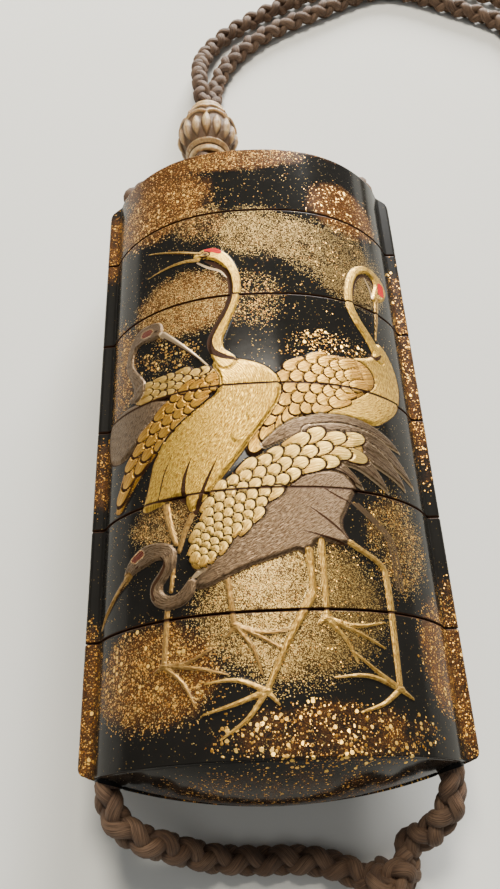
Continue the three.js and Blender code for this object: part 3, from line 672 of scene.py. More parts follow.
def feather(drawing, x, y, way, long, wide, rise, rim, warm):
    """One scale or long feather, with its round end pointing along its way and a dark rim."""
    reach = long + wide
    at = drawing.near((x - reach, y - reach), (x + reach, y + reach), 0.0)
    u = (drawing.x[at] - x) * math.cos(way) + (drawing.y[at] - y) * math.sin(way)
    v = -(drawing.x[at] - x) * math.sin(way) + (drawing.y[at] - y) * math.cos(way)
    end = np.where(u > 0, np.abs(u) / (long * 0.5), 0.0)
    tail = np.where(u < 0, np.abs(u) / (long * 0.5), 0.0)
    size = (end ** TIP + tail ** 6 + (np.abs(v) / (wide * 0.5)) ** TIP) ** (1 / TIP)
    inside = (1 - size) * min(long, wide) * 0.5
    drawing.lay(at, "ink_and_seam_shade", inside, rise * 0.55, 0.1)
    drawing.lay(at, "pale", inside - rim)
    pillow = rise * (0.82 + 0.18 * np.sqrt(np.clip(inside / (min(long, wide) * 0.25), 0, 1)))
    pillow = pillow * ramp(inside, -0.02, 0.09)
    drawing.rise[at] = np.where(inside > 0, pillow, drawing.rise[at])
    drawing.comb(at, inside > -0.05, FEATHER_FROM + u / long, v, FEATHERS + warm)

# %% [markdown]
# ## Wings
# A wing is a stroke too, covered with overlapping feathers. The rows start at the tip, so each
# row nearer the root lies over the one before it. Feathers are small and round near the root,
# and grow long towards the tip.

# %% Cover a wing with feathers
def wing(drawing, points, first, last, rise=0.42, warm=0.0):
    """Rows of feathers on a wing; first and last are (length, width) at the root and the tip."""
    line = soft_points(points, 0.25)
    stroke(drawing, "ink_and_seam_shade", points, rise * 0.5, 0.3, grow=0.1)
    stroke(drawing, "pale", points, grow=-0.02, grain=FEATHERS + warm)
    walked = walked_along(line[:, :2])
    total = walked[-1]

    def at_place(s):
        return np.array([np.interp(s, walked, column) for column in line.T])

    places, s = [], 0.25 * first[0]
    while s < total:
        places.append(s)
        t = s / total
        s += (first[0] + (last[0] - first[0]) * t) * 0.5
    for row, s in reversed(list(enumerate(places))):
        t = s / total
        long, wide = (a + (b - a) * t for a, b in zip(first, last))
        x, y, half = at_place(s)
        ahead = at_place(min(s + 0.4, total)) - at_place(max(s - 0.4, 0))
        way = math.atan2(ahead[1], ahead[0])
        across = max(1, int(round(2 * half / (wide * OVERLAP)))) + row % 2
        rim = FEATHER_RIM * (0.8 + 0.4 * t)
        for i in range(across):
            v = (i - (across - 1) / 2) * wide * OVERLAP
            if abs(v) > half * 0.98:
                continue
            turn = way + 0.22 * v / max(half, 0.5) * (0.4 + t)  # they fan out to the sides
            fx, fy = x - v * math.sin(way), y + v * math.cos(way)
            feather(drawing, fx, fy, turn, long * 1.2, wide, rise, rim, warm)


def toe_line(a, b, half, bend):
    """A toe or leg that bows a little to one side."""
    a, b = np.array(a, dtype=float), np.array(b, dtype=float)
    middle = (a + b) / 2 + bend * np.array([-(b - a)[1], (b - a)[0]])
    return [(*a, half), (*middle, half * 0.72), (*b, half * 0.35)]


def foot(drawing, ankle, toes, half=0.36, kind="silver"):
    """A crane's foot: three long toes and a short one behind."""
    for i, tip in enumerate(toes):
        line = toe_line(ankle, tip, half, (-0.1, 0.02, 0.08, 0.0)[i % 4])
        stroke(drawing, kind, line, 0.2, 0.15, grain=LIMB)
    ball = [(ankle[0] - 0.2, ankle[1], half * 1.1), (ankle[0] + 0.2, ankle[1], half * 1.1)]
    stroke(drawing, kind, ball, 0.22, 0.15, grain=LIMB)

# %% [markdown]
# ## Four cranes on the front
# A far silver crane stands at the left, a gold one bends its neck back at the right, a tall
# gold one calls in the middle, and a silver-brown one bows in front of them. All of them are
# generic cranes of this kind of lacquer work, built from the same brushes.

# %% Draw the far silver crane and the gold crane at the right
def far_crane(d):
    """The silver crane at the left edge."""
    body(d, "silver", [
        (-22, 1.5), (-19, 2.0), (-16.4, 1.6), (-12.4, 0.6), (-13.5, -1.5), (-15.8, -3.8),
        (-17.6, -5.6), (-19.6, -6.6), (-21.8, -5.0),
    ], [
        (-16, 2), (-17.5, -2), (-20, -5.5),
    ])
    wing(d, [
        (-16.2, 2.7, 1.5), (-12.5, 2.7, 1.5), (-9.5, 2.9, 1.2), (-6.2, 3.1, 0.6),
    ], (1.9, 1.3), (2.8, 1.7), 0.4, warm=0.15)
    stroke(d, "silver", [
        (-15.0, 12.9, 1.5), (-16.6, 13.0, 1.35), (-18.0, 11.8, 0.75), (-18.6, 9.6, 0.6),
        (-18.2, 7.4, 0.65), (-17.3, 5.6, 0.8), (-16.8, 4.0, 0.95), (-17.2, 2.8, 0.8),
        (-18.2, 2.9, 0.35),
    ], 0.34, grain=NECK_HAIRS)
    stroke(d, "pale", [(-13.6, 11.8, 0.5), (-10.4, 8.4, 0.32), (-7.1, 4.7, 0.1)], 0.2)
    ink_line(d, [(-13.4, 11.0, 0.07), (-10.6, 8.2, 0.07), (-8.2, 5.8, 0.04)])
    stroke(d, "silver", [(-16.2, 12.9, 0.5), (-15.5, 12.9, 0.5)], grain=CHEEK)
    ink_line(d, [(-14.6, 12.6, 0.14), (-14.35, 12.6, 0.14)])


def right_crane(d):
    """The gold crane at the right, with its neck bent back in a loop."""
    for shift in (-0.4, 0.0, 0.4):
        stroke(d, "silver", [
            (11.0 + shift, -16.2, 0.12), (14.8 + shift, -20.0, 0.12), (15.4 + shift, -22.0, 0.12),
            (15.6 + shift, -27.0, 0.1),
        ], 0.1)
    body(d, "gold", [
        (17.3, 10.9), (18.6, 9.8), (19.8, 7.4), (20.2, 4.4), (19.8, 1.6), (18.8, -0.8),
        (17.2, -2.6), (15.2, -4.3), (13.6, -4.0), (10.0, -4.2), (5.5, -4.8), (5.8, -3.4),
        (9.0, -2.2), (12.0, -0.6), (14.2, 1.6), (14.2, 5.0), (12.6, 6.2), (15.4, 6.9), (16.4, 8.2),
    ], [
        (17, 10), (18, 5), (17, 0), (13, -3), (6, -4.2),
    ])
    wing(d, [
        (13.2, 3.3, 2.6), (10.5, 2.3, 3.6), (7.0, 0.9, 3.9), (4.4, -0.6, 3.6), (2.0, -3.0, 2.6),
        (0, -5.6, 1.7), (-1.8, -7.4, 0.8),
    ], (2.4, 2.05), (4.3, 2.3), 0.42, warm=0.45)
    stroke(d, "gold", [
        (18.0, 19.0, 0.5), (18.9, 20.6, 0.95), (19.3, 22.0, 1.0), (18.7, 23.6, 0.85),
        (17.2, 24.2, 0.65), (15.6, 23.2, 0.6), (14.3, 20.8, 0.58), (13.7, 18.0, 0.58),
        (13.7, 15.4, 0.6), (14.6, 13.0, 0.62), (15.9, 10.8, 0.65), (16.9, 8.6, 0.7),
        (17.2, 7.2, 0.6),
    ], 0.34, grain=NECK_HAIRS)
    ink_line(d, [
        (18.2, 22.0, 0.1), (17.4, 22.8, 0.22), (16.2, 22.6, 0.24), (15.2, 21.2, 0.2),
        (14.5, 18.6, 0.12), (14.3, 16.2, 0.05),
    ])
    ink_line(d, [(15.9, 8.0, 0.12), (16.5, 7.2, 0.3), (17.4, 8.2, 0.12)])
    stroke(d, "gold", [
        (18.3, 18.9, 0.42), (17.8, 15.0, 0.26), (17.2, 11.0, 0.1),
    ], 0.22, grain=LIMB)
    ink_line(d, [(18.15, 18.6, 0.07), (17.75, 15.4, 0.06), (17.4, 12.6, 0.04)])
    stroke(d, "pale", [(16.8, 22.5, 0.1), (17.5, 20.6, 0.16), (17.6, 18.9, 0.1)])
    stroke(d, "red", [(19.25, 22.4, 0.5), (19.1, 20.8, 0.55)])
    ink_line(d, [(18.55, 20.3, 0.13), (18.6, 20.5, 0.13)])

# %% Draw the tall gold crane
def tall_crane(d):
    """The tall gold crane in the middle, with its beak open."""
    for leg in (
        [(-12.8, -14.8, 0.5), (-12.3, -17.6, 0.42), (-11.4, -20.6, 0.3)],
        [(-9.2, -16.8, 0.4), (-10.2, -19.0, 0.35), (-11.0, -21.6, 0.3)],
        [(-11.6, -22.6, 0.28), (-12.0, -26.5, 0.26)],
        [(-12.4, -28.4, 0.34), (-12.75, -34.9, 0.34)],
        [(-5.2, -25.5, 0.33), (-4.6, -31.2, 0.33)],
    ):
        stroke(d, "silver", leg, 0.2, 0.15, grain=LIMB)
    foot(d, (-12.8, -35.2), [(-7.2, -33.8), (-5.4, -36.8), (-9.2, -39.8), (-14.0, -35.8)], 0.3)
    foot(d, (-4.5, -31.4), [(2.4, -32.1), (1.2, -34.6), (-1.6, -37.0), (-5.5, -32.7)], 0.3)
    wing(d, [
        (-5.6, 1.9, 1.0), (-8.5, 0.7, 1.6), (-11.2, -1.4, 2.1), (-13.2, -3.6, 2.1),
        (-16.1, -6.8, 1.9), (-18.2, -10.4, 1.3), (-19.4, -13.4, 0.6),
    ], (2.0, 1.6), (4.8, 2.0), 0.42, warm=0.6)
    body(d, "gold", [
        (-6.9, 5.2), (-4.0, 5.4), (-2.0, 5.0), (0.4, 4.1), (2.0, 2.6), (2.7, 0.8), (2.5, -1.2),
        (1.2, -3.6), (-0.9, -6.4), (-3.0, -9.3), (-5.2, -12.2), (-7.2, -14.6), (-8.6, -16.2),
        (-9.6, -17.0), (-10.1, -15.4), (-10.4, -14.2), (-12.4, -14.8), (-16.3, -15.7),
        (-15.4, -13.2), (-14.9, -10.4), (-14.5, -8.2), (-12.4, -5.3), (-9.8, -3.0), (-7.4, -1.2),
        (-5.6, 0.4), (-5.3, 2.4),
    ], [
        (-5.0, 5.5), (-2.2, 2.0), (-4.0, -3.5), (-8.0, -9.0), (-12.0, -15.5),
    ], 0.4)
    ink_line(d, [(-9.3, -9.2, 0.04), (-10.2, -12.0, 0.22), (-10.4, -15.0, 0.34)])
    ink_line(d, [(-5.9, -9.6, 0.04), (-7.6, -13.4, 0.2), (-8.9, -17.0, 0.24)])
    ink_line(d, [(-11.8, -8.2, 0.04), (-12.9, -11.0, 0.1), (-13.6, -14.4, 0.06)])
    stroke(d, "gold", [
        (-8.6, 24.3, 0.35), (-7.4, 24.5, 0.85), (-6.0, 24.3, 1.05), (-4.6, 23.2, 0.95),
        (-3.4, 21.2, 0.75), (-2.85, 19.0, 0.68), (-2.95, 16.6, 0.68), (-3.7, 14.0, 0.72),
        (-4.9, 11.2, 0.8), (-5.8, 8.6, 0.85), (-5.7, 6.6, 1.0), (-4.6, 5.0, 1.4),
    ], 0.36, grain=NECK_HAIRS)
    ink_line(d, [
        (-7.2, 23.2, 0.15), (-5.6, 22.1, 0.36), (-4.1, 20.4, 0.4), (-3.62, 18.0, 0.38),
        (-3.8, 15.6, 0.38), (-4.75, 13.0, 0.42), (-6.05, 10.4, 0.42), (-6.75, 8.4, 0.42),
        (-6.3, 6.7, 0.45), (-5.0, 5.7, 0.4), (-3.0, 4.9, 0.2),
    ])
    stroke(d, "gold", [
        (-8.0, 24.7, 0.36), (-12.2, 26.5, 0.2), (-16.2, 28.4, 0.06),
    ], 0.22, grain=LIMB)
    ink_line(d, [(-8.0, 24.5, 0.07), (-11.6, 26.0, 0.06), (-14.6, 27.5, 0.03)])
    stroke(d, "gold", [
        (-8.3, 23.7, 0.3), (-10.5, 24.0, 0.24), (-13.0, 23.9, 0.17), (-16.2, 23.5, 0.05),
    ], 0.22, grain=LIMB)
    stroke(d, "pale", [
        (-8.4, 23.2, 0.14), (-6.8, 21.9, 0.2), (-5.0, 20.9, 0.16), (-4.1, 19.6, 0.06),
    ])
    stroke(d, "red", [(-6.9, 25.1, 0.42), (-5.9, 24.95, 0.56), (-5.1, 24.4, 0.42)])
    ink_line(d, [
        (-8.1, 24.2, 0.07), (-7.5, 24.75, 0.1), (-6.7, 24.65, 0.11), (-6.4, 24.1, 0.11),
        (-7.0, 23.75, 0.1), (-7.9, 23.95, 0.07),
    ])
    stroke(d, "silver", [(-7.35, 24.25, 0.22), (-7.0, 24.22, 0.24)])
    ink_line(d, [(-7.2, 24.25, 0.11), (-7.1, 24.25, 0.11)])

# %% Draw the bowing crane in front
def bowing_crane(d):
    """The silver-brown crane that bows in front, with its plumes, wing and legs."""
    plumes = [
        [(0, -8.4, 0.5), (4, -6.0, 1.2), (9, -4.9, 1.3), (14, -5.2, 1.1), (16.8, -6.2, 0.7),
         (18.5, -7.2, 0.1)],
        [(6, -6.6, 1.2), (11, -6.4, 1.5), (15.5, -7.6, 1.3), (18.0, -9.6, 0.8),
         (20.0, -11.8, 0.1)],
        [(8, -8.0, 1.2), (12.5, -8.2, 1.6), (16.0, -10.2, 1.1), (17.6, -11.6, 0.6),
         (18.5, -12.9, 0.1)],
        [(8, -9.6, 1.2), (12.0, -10.2, 1.3), (14.4, -12.2, 0.8), (15.8, -14.1, 0.1)],
        [(6, -11.2, 0.8), (9.2, -11.6, 1.0), (11.2, -13.0, 0.6), (12.4, -14.4, 0.1)],
    ]
    for i, plume in enumerate(plumes):
        stroke(d, "pale", plume, 0.26 + 0.02 * i, 0.3, grain=NECK_HAIRS)
        stroke(d, "silver", plume, grow=-0.16, grain=NECK_HAIRS)
        ink_line(d, [(x, y, 0.06) for x, y, _ in plume[1:-1]])
    body(d, "silver", [
        (-9.6, -26.2), (-8.0, -26.9), (-5.6, -25.8), (-2.0, -24.3), (1.6, -23.3), (3.4, -22.5),
        (4.2, -23.4), (5.0, -22.6), (5.8, -21.3), (8.2, -21.9), (10.1, -21.8), (8.7, -19.4),
        (9.8, -17.2), (10.9, -15.0), (11.6, -13.9), (9.0, -11.6), (3.0, -12.6), (-2.0, -17.0),
        (-7.0, -23.6),
    ], [
        (-9.0, -26.0), (-4.0, -23.8), (2.0, -20.5), (8.0, -16.0), (11.5, -13.0),
    ], 0.36)
    ink_line(d, [(5.2, -17.2, 0.05), (7.6, -19.2, 0.15), (9.8, -21.4, 0.08)])
    ink_line(d, [(4.2, -20.3, 0.05), (7.2, -21.2, 0.13), (9.5, -22.0, 0.06)])
    ink_line(d, [(7.0, -14.6, 0.05), (9.0, -15.8, 0.12), (10.4, -16.4, 0.06)])
    stroke(d, "pale", [
        (-9.3, -25.2, 0.2), (-8.0, -24.2, 0.42), (-6.6, -23.2, 0.3),
    ], grain=NECK_HAIRS)
    wing(d, [
        (-8.6, -23.4, 0.9), (-6.9, -20.4, 2.2), (-4.6, -17.2, 2.9), (-1.8, -14.2, 3.0),
        (1.4, -11.8, 2.8), (5.0, -9.8, 2.4), (8.6, -8.6, 1.9), (12.0, -8.4, 0.8),
    ], (1.4, 1.35), (4.8, 2.5), 0.46)
    stroke(d, "silver", [
        (-17.8, -23.2, 0.5), (-16.9, -22.2, 1.0), (-15.6, -21.4, 1.35), (-13.9, -21.1, 1.15),
        (-12.4, -21.6, 1.0), (-12.2, -22.8, 0.8), (-12.9, -24.2, 0.75), (-13.8, -25.6, 0.8),
        (-13.6, -27.0, 0.85), (-12.4, -27.8, 0.85), (-10.9, -27.7, 0.85), (-9.9, -26.8, 0.85),
        (-9.5, -25.9, 0.6),
    ], 0.38, grain=NECK_HAIRS)
    ink_line(d, [
        (-13.2, -22.0, 0.08), (-12.7, -23.2, 0.16), (-13.4, -24.6, 0.18), (-14.2, -25.9, 0.16),
        (-13.9, -27.3, 0.12),
    ])
    stroke(d, "silver", [(-16.6, -21.4, 0.42), (-15.9, -21.0, 0.48)], grain=CHEEK)
    ink_line(d, [(-16.4, -22.6, 0.14), (-16.2, -22.5, 0.14)])
    stroke(d, "silver", [
        (-17.6, -23.3, 0.5), (-19.3, -25.0, 0.35), (-20.8, -27.0, 0.22), (-21.6, -28.6, 0.1),
    ], 0.24, grain=LIMB)
    ink_line(d, [(-17.9, -23.9, 0.07), (-19.4, -25.6, 0.06), (-20.7, -27.3, 0.04)])
    for leg in (
        [(6.2, -21.6, 0.42), (6.2, -26.0, 0.34), (6.1, -30.8, 0.32)],
        [(9.8, -21.6, 0.4), (13.6, -24.4, 0.36), (13.9, -26.0, 0.42), (13.9, -38.4, 0.33)],
        [(4.6, -22.8, 0.5), (4.7, -27.6, 0.36), (4.5, -28.2, 0.5), (1.6, -33.2, 0.34),
         (-1.0, -38.4, 0.33)],
    ):
        stroke(d, "gold", leg, 0.24, 0.15, grain=LIMB)
    foot(d, (6.0, -31.0), [(13.0, -31.2), (12.6, -34.2), (9.2, -36.0), (5.0, -31.6)], 0.32, "gold")
    foot(d, (13.9, -38.7), [(6.4, -37.6), (9.0, -34.9), (9.0, -41.3), (15.4, -39.7)], 0.33, "gold")
    foot(d, (-1.2, -38.8), [
        (-8.0, -37.6), (-8.2, -40.9), (-6.4, -43.6), (0.1, -40.3),
    ], 0.33, "gold")

# %% [markdown]
# ## Clouds of gold dust
# Between the cranes gold was sprinkled on wet lacquer in soft clouds: fine pale dust, brown
# and gold flakes, and larger bright flakes. Each cloud is a soft oval, and the clouds become
# the chance that a grain of the finish is gold.

# %% Sprinkle the clouds
CLOUDS = [  # across, along, half-widths, then fine dust, flakes, large flakes and brown ground
    (0, 28.5, 6.8, 5.4, 0.66, 0.05, 0.0, 0.1), (6, 27, 6.8, 4.8, 0.68, 0.05, 0.0, 0.15),
    (12, 25, 8.2, 6.6, 0.68, 0.1, 0.0, 0.25), (14.5, 20, 5.5, 4.6, 0.8, 0.05, 0.0, 0.15),
    (-8, 31, 4.8, 4.2, 0.35, 0.35, 0.0, 0.5), (-10.5, 16.2, 8.4, 6.4, 0.6, 0.3, 0.0, 0.9),
    (-0.5, 15.5, 4.8, 5.6, 0.25, 0.4, 0.05, 0.25), (-13, 7.8, 5.2, 3.3, 0.1, 0.35, 0.6, 0.2),
    (9.5, 7.2, 6.6, 3.3, 0.1, 0.5, 0.5, 0.2), (-20.5, 9, 3.4, 10, 0.2, 0.7, 0.2, 0.7),
    (-2, 44.6, 11.5, 3.8, 0.14, 0.48, 0.2, 0.95), (-15, 44.5, 8, 4, 0.05, 0.4, 0.1, 0.85),
    (-2, 48, 14, 3.6, 0.08, 0.36, 0.12, 0.95), (0, 47.5, 23, 3.0, 0.0, 0.25, 0.05, 0.6),
    (-14.5, 37, 9.6, 7.4, 0.1, 0.75, 0.45, 0.9), (14.5, 35, 6.6, 6.2, 0.05, 0.35, 0.2, 0.9),
    (2, -29.5, 12.2, 9.8, 1.0, 0.15, 0.05, 0.35), (16, -20.5, 4.5, 8, 0.5, 0.4, 0.05, 0.4),
    (-13, -17.5, 5, 3.6, 0.6, 0.3, 0.0, 0.5), (-14, -36, 9.2, 6.8, 0.3, 0.7, 0.2, 0.8),
    (-17, -34, 4.4, 4.4, 0.0, 0.3, 0.6, 0.5), (5.5, -43.4, 13.5, 3.8, 0.08, 0.45, 0.9, 0.5),
    (20.5, -34, 3.6, 8, 0.05, 0.6, 0.3, 0.7), (0, -48.6, 24, 2.4, 0.0, 0.3, 0.06, 0.4),
    (-2, 2, 30, 60, 0.02, 0.03, 0.0, 0.0),
]
RIDGE_CLOUDS = [
    (-23.2, 37, 3.0, 9, 0.0, 0.5, 0.1, 0.7), (-23.2, -6, 3.0, 7, 0.0, 0.5, 0.2, 0.6),
    (-23.2, -38, 3.0, 12, 0.1, 0.6, 0.3, 0.7), (23.2, 10, 3.0, 22, 0.0, 0.5, 0.15, 0.6),
    (23.2, -35, 3.0, 13, 0.1, 0.5, 0.2, 0.6),
]
BACK_CLOUDS = [
    (-8, 22, 12, 12, 0.4, 0.3, 0.1, 0.3), (10, -14, 11, 16, 0.5, 0.25, 0.1, 0.3),
    (0, 47, 22, 4, 0.2, 0.6, 0.3, 0.7), (-6, -42, 16, 6, 0.2, 0.6, 0.5, 0.6),
    (0, -48, 24, 2.6, 0.0, 0.3, 0.06, 0.5),
]


def sprinkle(clouds, x, y):
    """Chances of fine dust, flakes, large flakes and brown ground at every point."""
    chance = np.zeros(x.shape + (4,))
    for cx, cy, rx, ry, *parts in clouds:
        soft = ramp(1.25 - ((x - cx) / rx) ** 2 - ((y - cy) / ry) ** 2, 0, 1)
        chance = np.maximum(chance, soft[..., None] * np.array(parts))
    return chance

# %% Draw on one section's front
TALLEST = 0.6  # the most that a figure rises above the lacquer
RIDGE_FROM = 21.0, 22.2  # across these the body's clouds give way to the ridge's


def draw_front(px, py, pz, front):
    """Height of the figures, and notes for the finish, for one section's points."""
    drawing = Drawing(px[front], py[front])
    for crane in (far_crane, right_crane, tall_crane, bowing_crane):
        crane(drawing)

    def spread(values, elsewhere=0.0):
        """Numbers for all the section's points from those of its front."""
        full = np.full(px.shape + values.shape[1:], elsewhere)
        full[front] = values
        return full

    front_chance, back_chance, ridge_chance = (
        sprinkle(clouds, px, py) for clouds in (CLOUDS, BACK_CLOUDS, RIDGE_CLOUDS)
    )
    on_ridge = ramp(np.abs(px), *RIDGE_FROM)[..., None]
    chance = np.where((pz > 0)[..., None], front_chance, back_chance) * (1 - on_ridge)
    chance = chance + ridge_chance * on_ridge
    notes = {kind: spread(drawing.inside[kind], -1.0) for kind in KINDS}
    notes["grain"] = spread(drawing.grain)
    notes["dust"], notes["brown"] = chance[..., :3], chance[..., 3]
    notes["dull"] = 0.5 * on_ridge[..., 0]
    return spread(np.clip(drawing.rise, 0, TALLEST)), notes

# %% [markdown]
# ## Build the sections
# Each section's skin is a sheet of rows. On the front its points rise with the drawing, and
# the drawing's distances go along as numbers for the finish. A band of painted shade, in the
# dark line colour, runs over the figures at each seam, where shade falls into the gap. At both
# ends of the case, short tubes line the mouths of the cord's channels.

# %% Build the lid and the boxes
SEAM_SHADE = 0.215  # half the width of the band of painted shade laid over the figures at a seam
TUBE_GAP, TUBE_DROP = 0.07, 0.25  # how much narrower and lower a tube is than its mouth


def mouth_tubes(way, first):
    """Points and faces of the tubes that line the two channels' mouths at one end."""
    turns = 2 * math.pi * np.arange(32) / 32
    points, faces = [], []
    for side in (-1, 1):
        x = side * CHANNEL + (BORE - TUBE_GAP) * np.cos(turns)
        z = (BORE - TUBE_GAP) * np.sin(turns) + MIDDLE
        share = np.clip(np.abs(x) / HALF_WIDTH, 0, 1)
        dome = DOME * (1 - share ** DOME_POWER) - TUBE_DROP
        y = (EDGES[0] if way > 0 else EDGES[-1]) + way * dome
        faces.append(sheet_faces(3, 32, first + sum(map(len, points))))
        points += [np.stack([x, y - way * deep, z], axis=1) for deep in (0.0, 0.4, 7.0)]
    return np.vstack(points), np.vstack(faces)


def build_section(index):
    """One section of the case: its skin with the drawing, and its packed inside."""
    px, py, pz, share = skin_of(index)
    rise, notes = draw_front(px, py, pz, on_front[None, :] & (share > 0.999))
    # painted shade: a dark band over the figures beside each seam, where shade falls into the gap
    # between sections
    seam = SEAM_SHADE - np.abs(py[..., None] - np.array(EDGES[1:-1])).min(-1)
    ink_and_seam_shade = notes["ink_and_seam_shade"]
    for kind in KINDS:
        notes[kind] = np.minimum(notes[kind], -seam)
    notes["ink_and_seam_shade"] = np.maximum(ink_and_seam_shade, seam)
    out = outward(px, py, pz)
    px, py, pz = (p + rise * out[..., k] for k, p in enumerate((px, py, pz)))
    quads = sheet_faces(*px.shape)
    name = SECTION_NAMES[index]
    inner_points, inner = inner_faces(name, index)
    hidden = [inner_points]
    if index in (0, 5):
        way = 1 if index == 0 else -1
        px, py, pz, cut = round_mouths(px, py, pz, way)
        tube_points, tubes = mouth_tubes(way, px.size + len(inner_points))
        quads = np.vstack([quads[~cut.ravel()[quads].any(1)], tubes])
        hidden.append(tube_points)
    skin = np.stack([px, py, pz + MIDDLE], axis=-1).reshape(-1, 3)
    hidden = np.vstack(hidden)
    for note, values in notes.items():
        values = values.reshape(len(skin), *values.shape[2:])
        unseen = np.full((len(hidden),) + values.shape[1:], -1.0 if note in KINDS else 0.0)
        notes[note] = np.concatenate([values, unseen])
    return make_piece(
        "lacquered_" + name, np.vstack([skin, hidden]), quads, notes, inner + len(skin)
    )


sections = [build_section(i) for i in range(6)]

# %% [markdown]
# ## The carved bead
# The bead, an ojime, is a small rounded barrel of carved bone. Its collars are plain. A
# scalloped cap covers its upper end. Two tiers of arches go round it, and the lower tier is
# filled with pointed ovals and leaves. The hole is a slot, because two strands pass through
# one above the other.

# %% Carve the bead
BEAD_END = 7.0  # half the bead's length
BEAD_ROWS, BEAD_COLUMNS = 168, 224
ARCHES = 8
WIDEST = 6.1
HOLE, HOLE_HALF = 1.5, 1.35  # radius of the slot's ends, and half the distance between them
bead_profile = [  # place along the bead, and its radius there
    (-7.0, 3.3), (-6.86, 3.55), (-6.6, 3.68), (-5.9, 3.68), (-5.5, 3.75), (-4.3, 4.75),
    (-2.9, 5.35), (-1.4, 5.62), (0.0, 5.68), (1.5, 5.55), (3.6, 4.8), (5.2, 3.85), (5.6, 3.62),
    (6.4, 3.68), (6.86, 3.5), (7.0, 3.3),
]
along_bead = np.linspace(-BEAD_END, BEAD_END, BEAD_ROWS)[:, None]
around_bead = (2 * math.pi * np.arange(BEAD_COLUMNS) / BEAD_COLUMNS)[None, :]
side_way = np.abs((around_bead * ARCHES / (2 * math.pi)) % 1.0 - 0.5) * 2  # 0 mid-arch, 1 between
upper_edge = 4.75 - 1.3 * side_way ** 2
lower_edge = 1.9 - 1.1 * side_way ** 2
rims = bump(along_bead, upper_edge + 0.1, 0.4) + bump(along_bead, lower_edge + 0.15, 0.42)
arcade = ramp(upper_edge - along_bead, 0.1, 0.55) * ramp(along_bead - lower_edge, 0.4, 0.8)
recess = ramp(lower_edge - along_bead, 0.15, 0.6) * ramp(along_bead, -4.9, -4.3)


def leaf(middle, half_long, roundness, aside):
    """How high a pointed leaf stands: 1 in its middle, 0 outside it."""
    return np.sqrt(np.clip(
        1 - np.abs((along_bead - middle) / half_long) ** roundness - aside ** 1.4, 0, 1
    ))


oval = leaf(-1.75, 2.5, 1.7, side_way / 0.44)
petal = leaf(-1.6, 2.8, 1.6, (1 - side_way) / 0.46)
cap = ramp(along_bead - upper_edge, 0.1, 0.4) * ramp(-along_bead, -5.75, -5.45)
carve = 0.2 * rims - 0.42 * (arcade + recess) + (0.62 * oval + 0.78 * petal) * recess + 0.22 * cap
carve = ramp(6.0 - np.abs(along_bead), 0.0, 0.4) * carve  # the collars stay plain
groove = -0.25 * bump(np.abs(along_bead), 5.6, 0.22)
bead_r = np.minimum(np.interp(along_bead, *zip(*bead_profile)) + carve + groove, WIDEST)
bead_x = bead_r * np.sin(around_bead)
bead_z = bead_r * np.cos(around_bead)
hole_x = HOLE * np.sin(around_bead)
over_middle = np.where(np.abs(np.cos(around_bead)) > 1e-9, np.sign(np.cos(around_bead)), 0.0)
hole_z = HOLE * np.cos(around_bead) + HOLE_HALF * over_middle
end_mix = np.array([0.3, 0.62, 0.86, 1.0])[:, None]  # steps from the rim to the hole
sink = np.array([0.03, 0.02, 0.05, 0.22])[:, None]  # how deep each step lies


def toward_hole(row, way):
    """Rows from the rim of the bead's end to the mouth of its hole."""
    x = bead_x[row] * (1 - end_mix) + hole_x * end_mix
    z = bead_z[row] * (1 - end_mix) + hole_z * end_mix
    return np.stack([x, way * (BEAD_END - sink) + 0 * x, z], axis=-1)


inner_y = np.linspace(6.0, -6.0, 9)[:, None] + 0 * hole_x
bead_points = np.vstack([
    np.stack([bead_x, along_bead + 0 * bead_x, bead_z], axis=-1),
    toward_hole(-1, 1),
    np.stack([hole_x + 0 * inner_y, inner_y, hole_z + 0 * inner_y], axis=-1),
    toward_hole(0, -1)[::-1],
])
hollow_note = np.zeros(bead_points.shape[:2])
hollow_note[:BEAD_ROWS] = np.clip(
    recess * (1 - oval - petal) + arcade + bump(np.abs(along_bead), 5.6, 0.3), 0, 1
)
hollow_note[BEAD_ROWS + 3:] = 1
bead = make_piece(
    "carved_bead",
    bead_points.reshape(-1, 3) + [BEAD_X, BEAD_Y, bead_rise],
    sheet_faces(len(bead_points), BEAD_COLUMNS, close_rows=True)[:, ::-1],
    {"hollow": hollow_note.ravel()},
)

# %% [markdown]
# ## Each piece takes the place of its packed ones
# The sections and the bead ride on the case, and so do the cords and the knot.

# %% Put the pieces in their places
for piece, name in zip(sections, SECTION_NAMES):
    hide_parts(name)
    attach(piece, "root")
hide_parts("ojime_bead")
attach(bead, "root")
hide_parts("bottom_knot")
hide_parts("cord_bottom_left", "cord_bottom_right")
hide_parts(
    "cord_lid_to_bead_left", "cord_lid_to_bead_right", "cord_in_bead_upper",
    "cord_in_bead_lower", "cord_netsuke_loop",
)
for piece in (knot, bottom_cord, top_cord):
    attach(piece, "root")

# %% Print the cords' lengths
for piece, line, length, companion in (
    (top_cord, top_line, top_length, bead),
    (bottom_cord, bottom_line, bottom_length, knot),
):
    tuple(line[0] * MM)
    length * MM
    [tuple(p) for p in line[::3] * MM] + [tuple(line[-1] * MM)]
    print(piece.name, "is", round(length, 1), "mm long")

# %% [markdown]
# ## Floor and light
# The case lies on plain pale paper. A soft sheet of light stands beyond the lid, a weak one
# hangs overhead, and a small warm one over the front makes the raised gold shine. The floor is
# not part of the object.

# %% Lay the floor
floor_mesh = bpy.data.meshes.new("paper_floor")
floor_mesh.from_pydata([(-3, -3, 0), (3, -3, 0), (3, 3, 0), (-3, 3, 0)], [], [(0, 1, 2, 3)])
floor = bpy.data.objects.new("paper_floor", floor_mesh)
bpy.context.scene.collection.objects.link(floor)

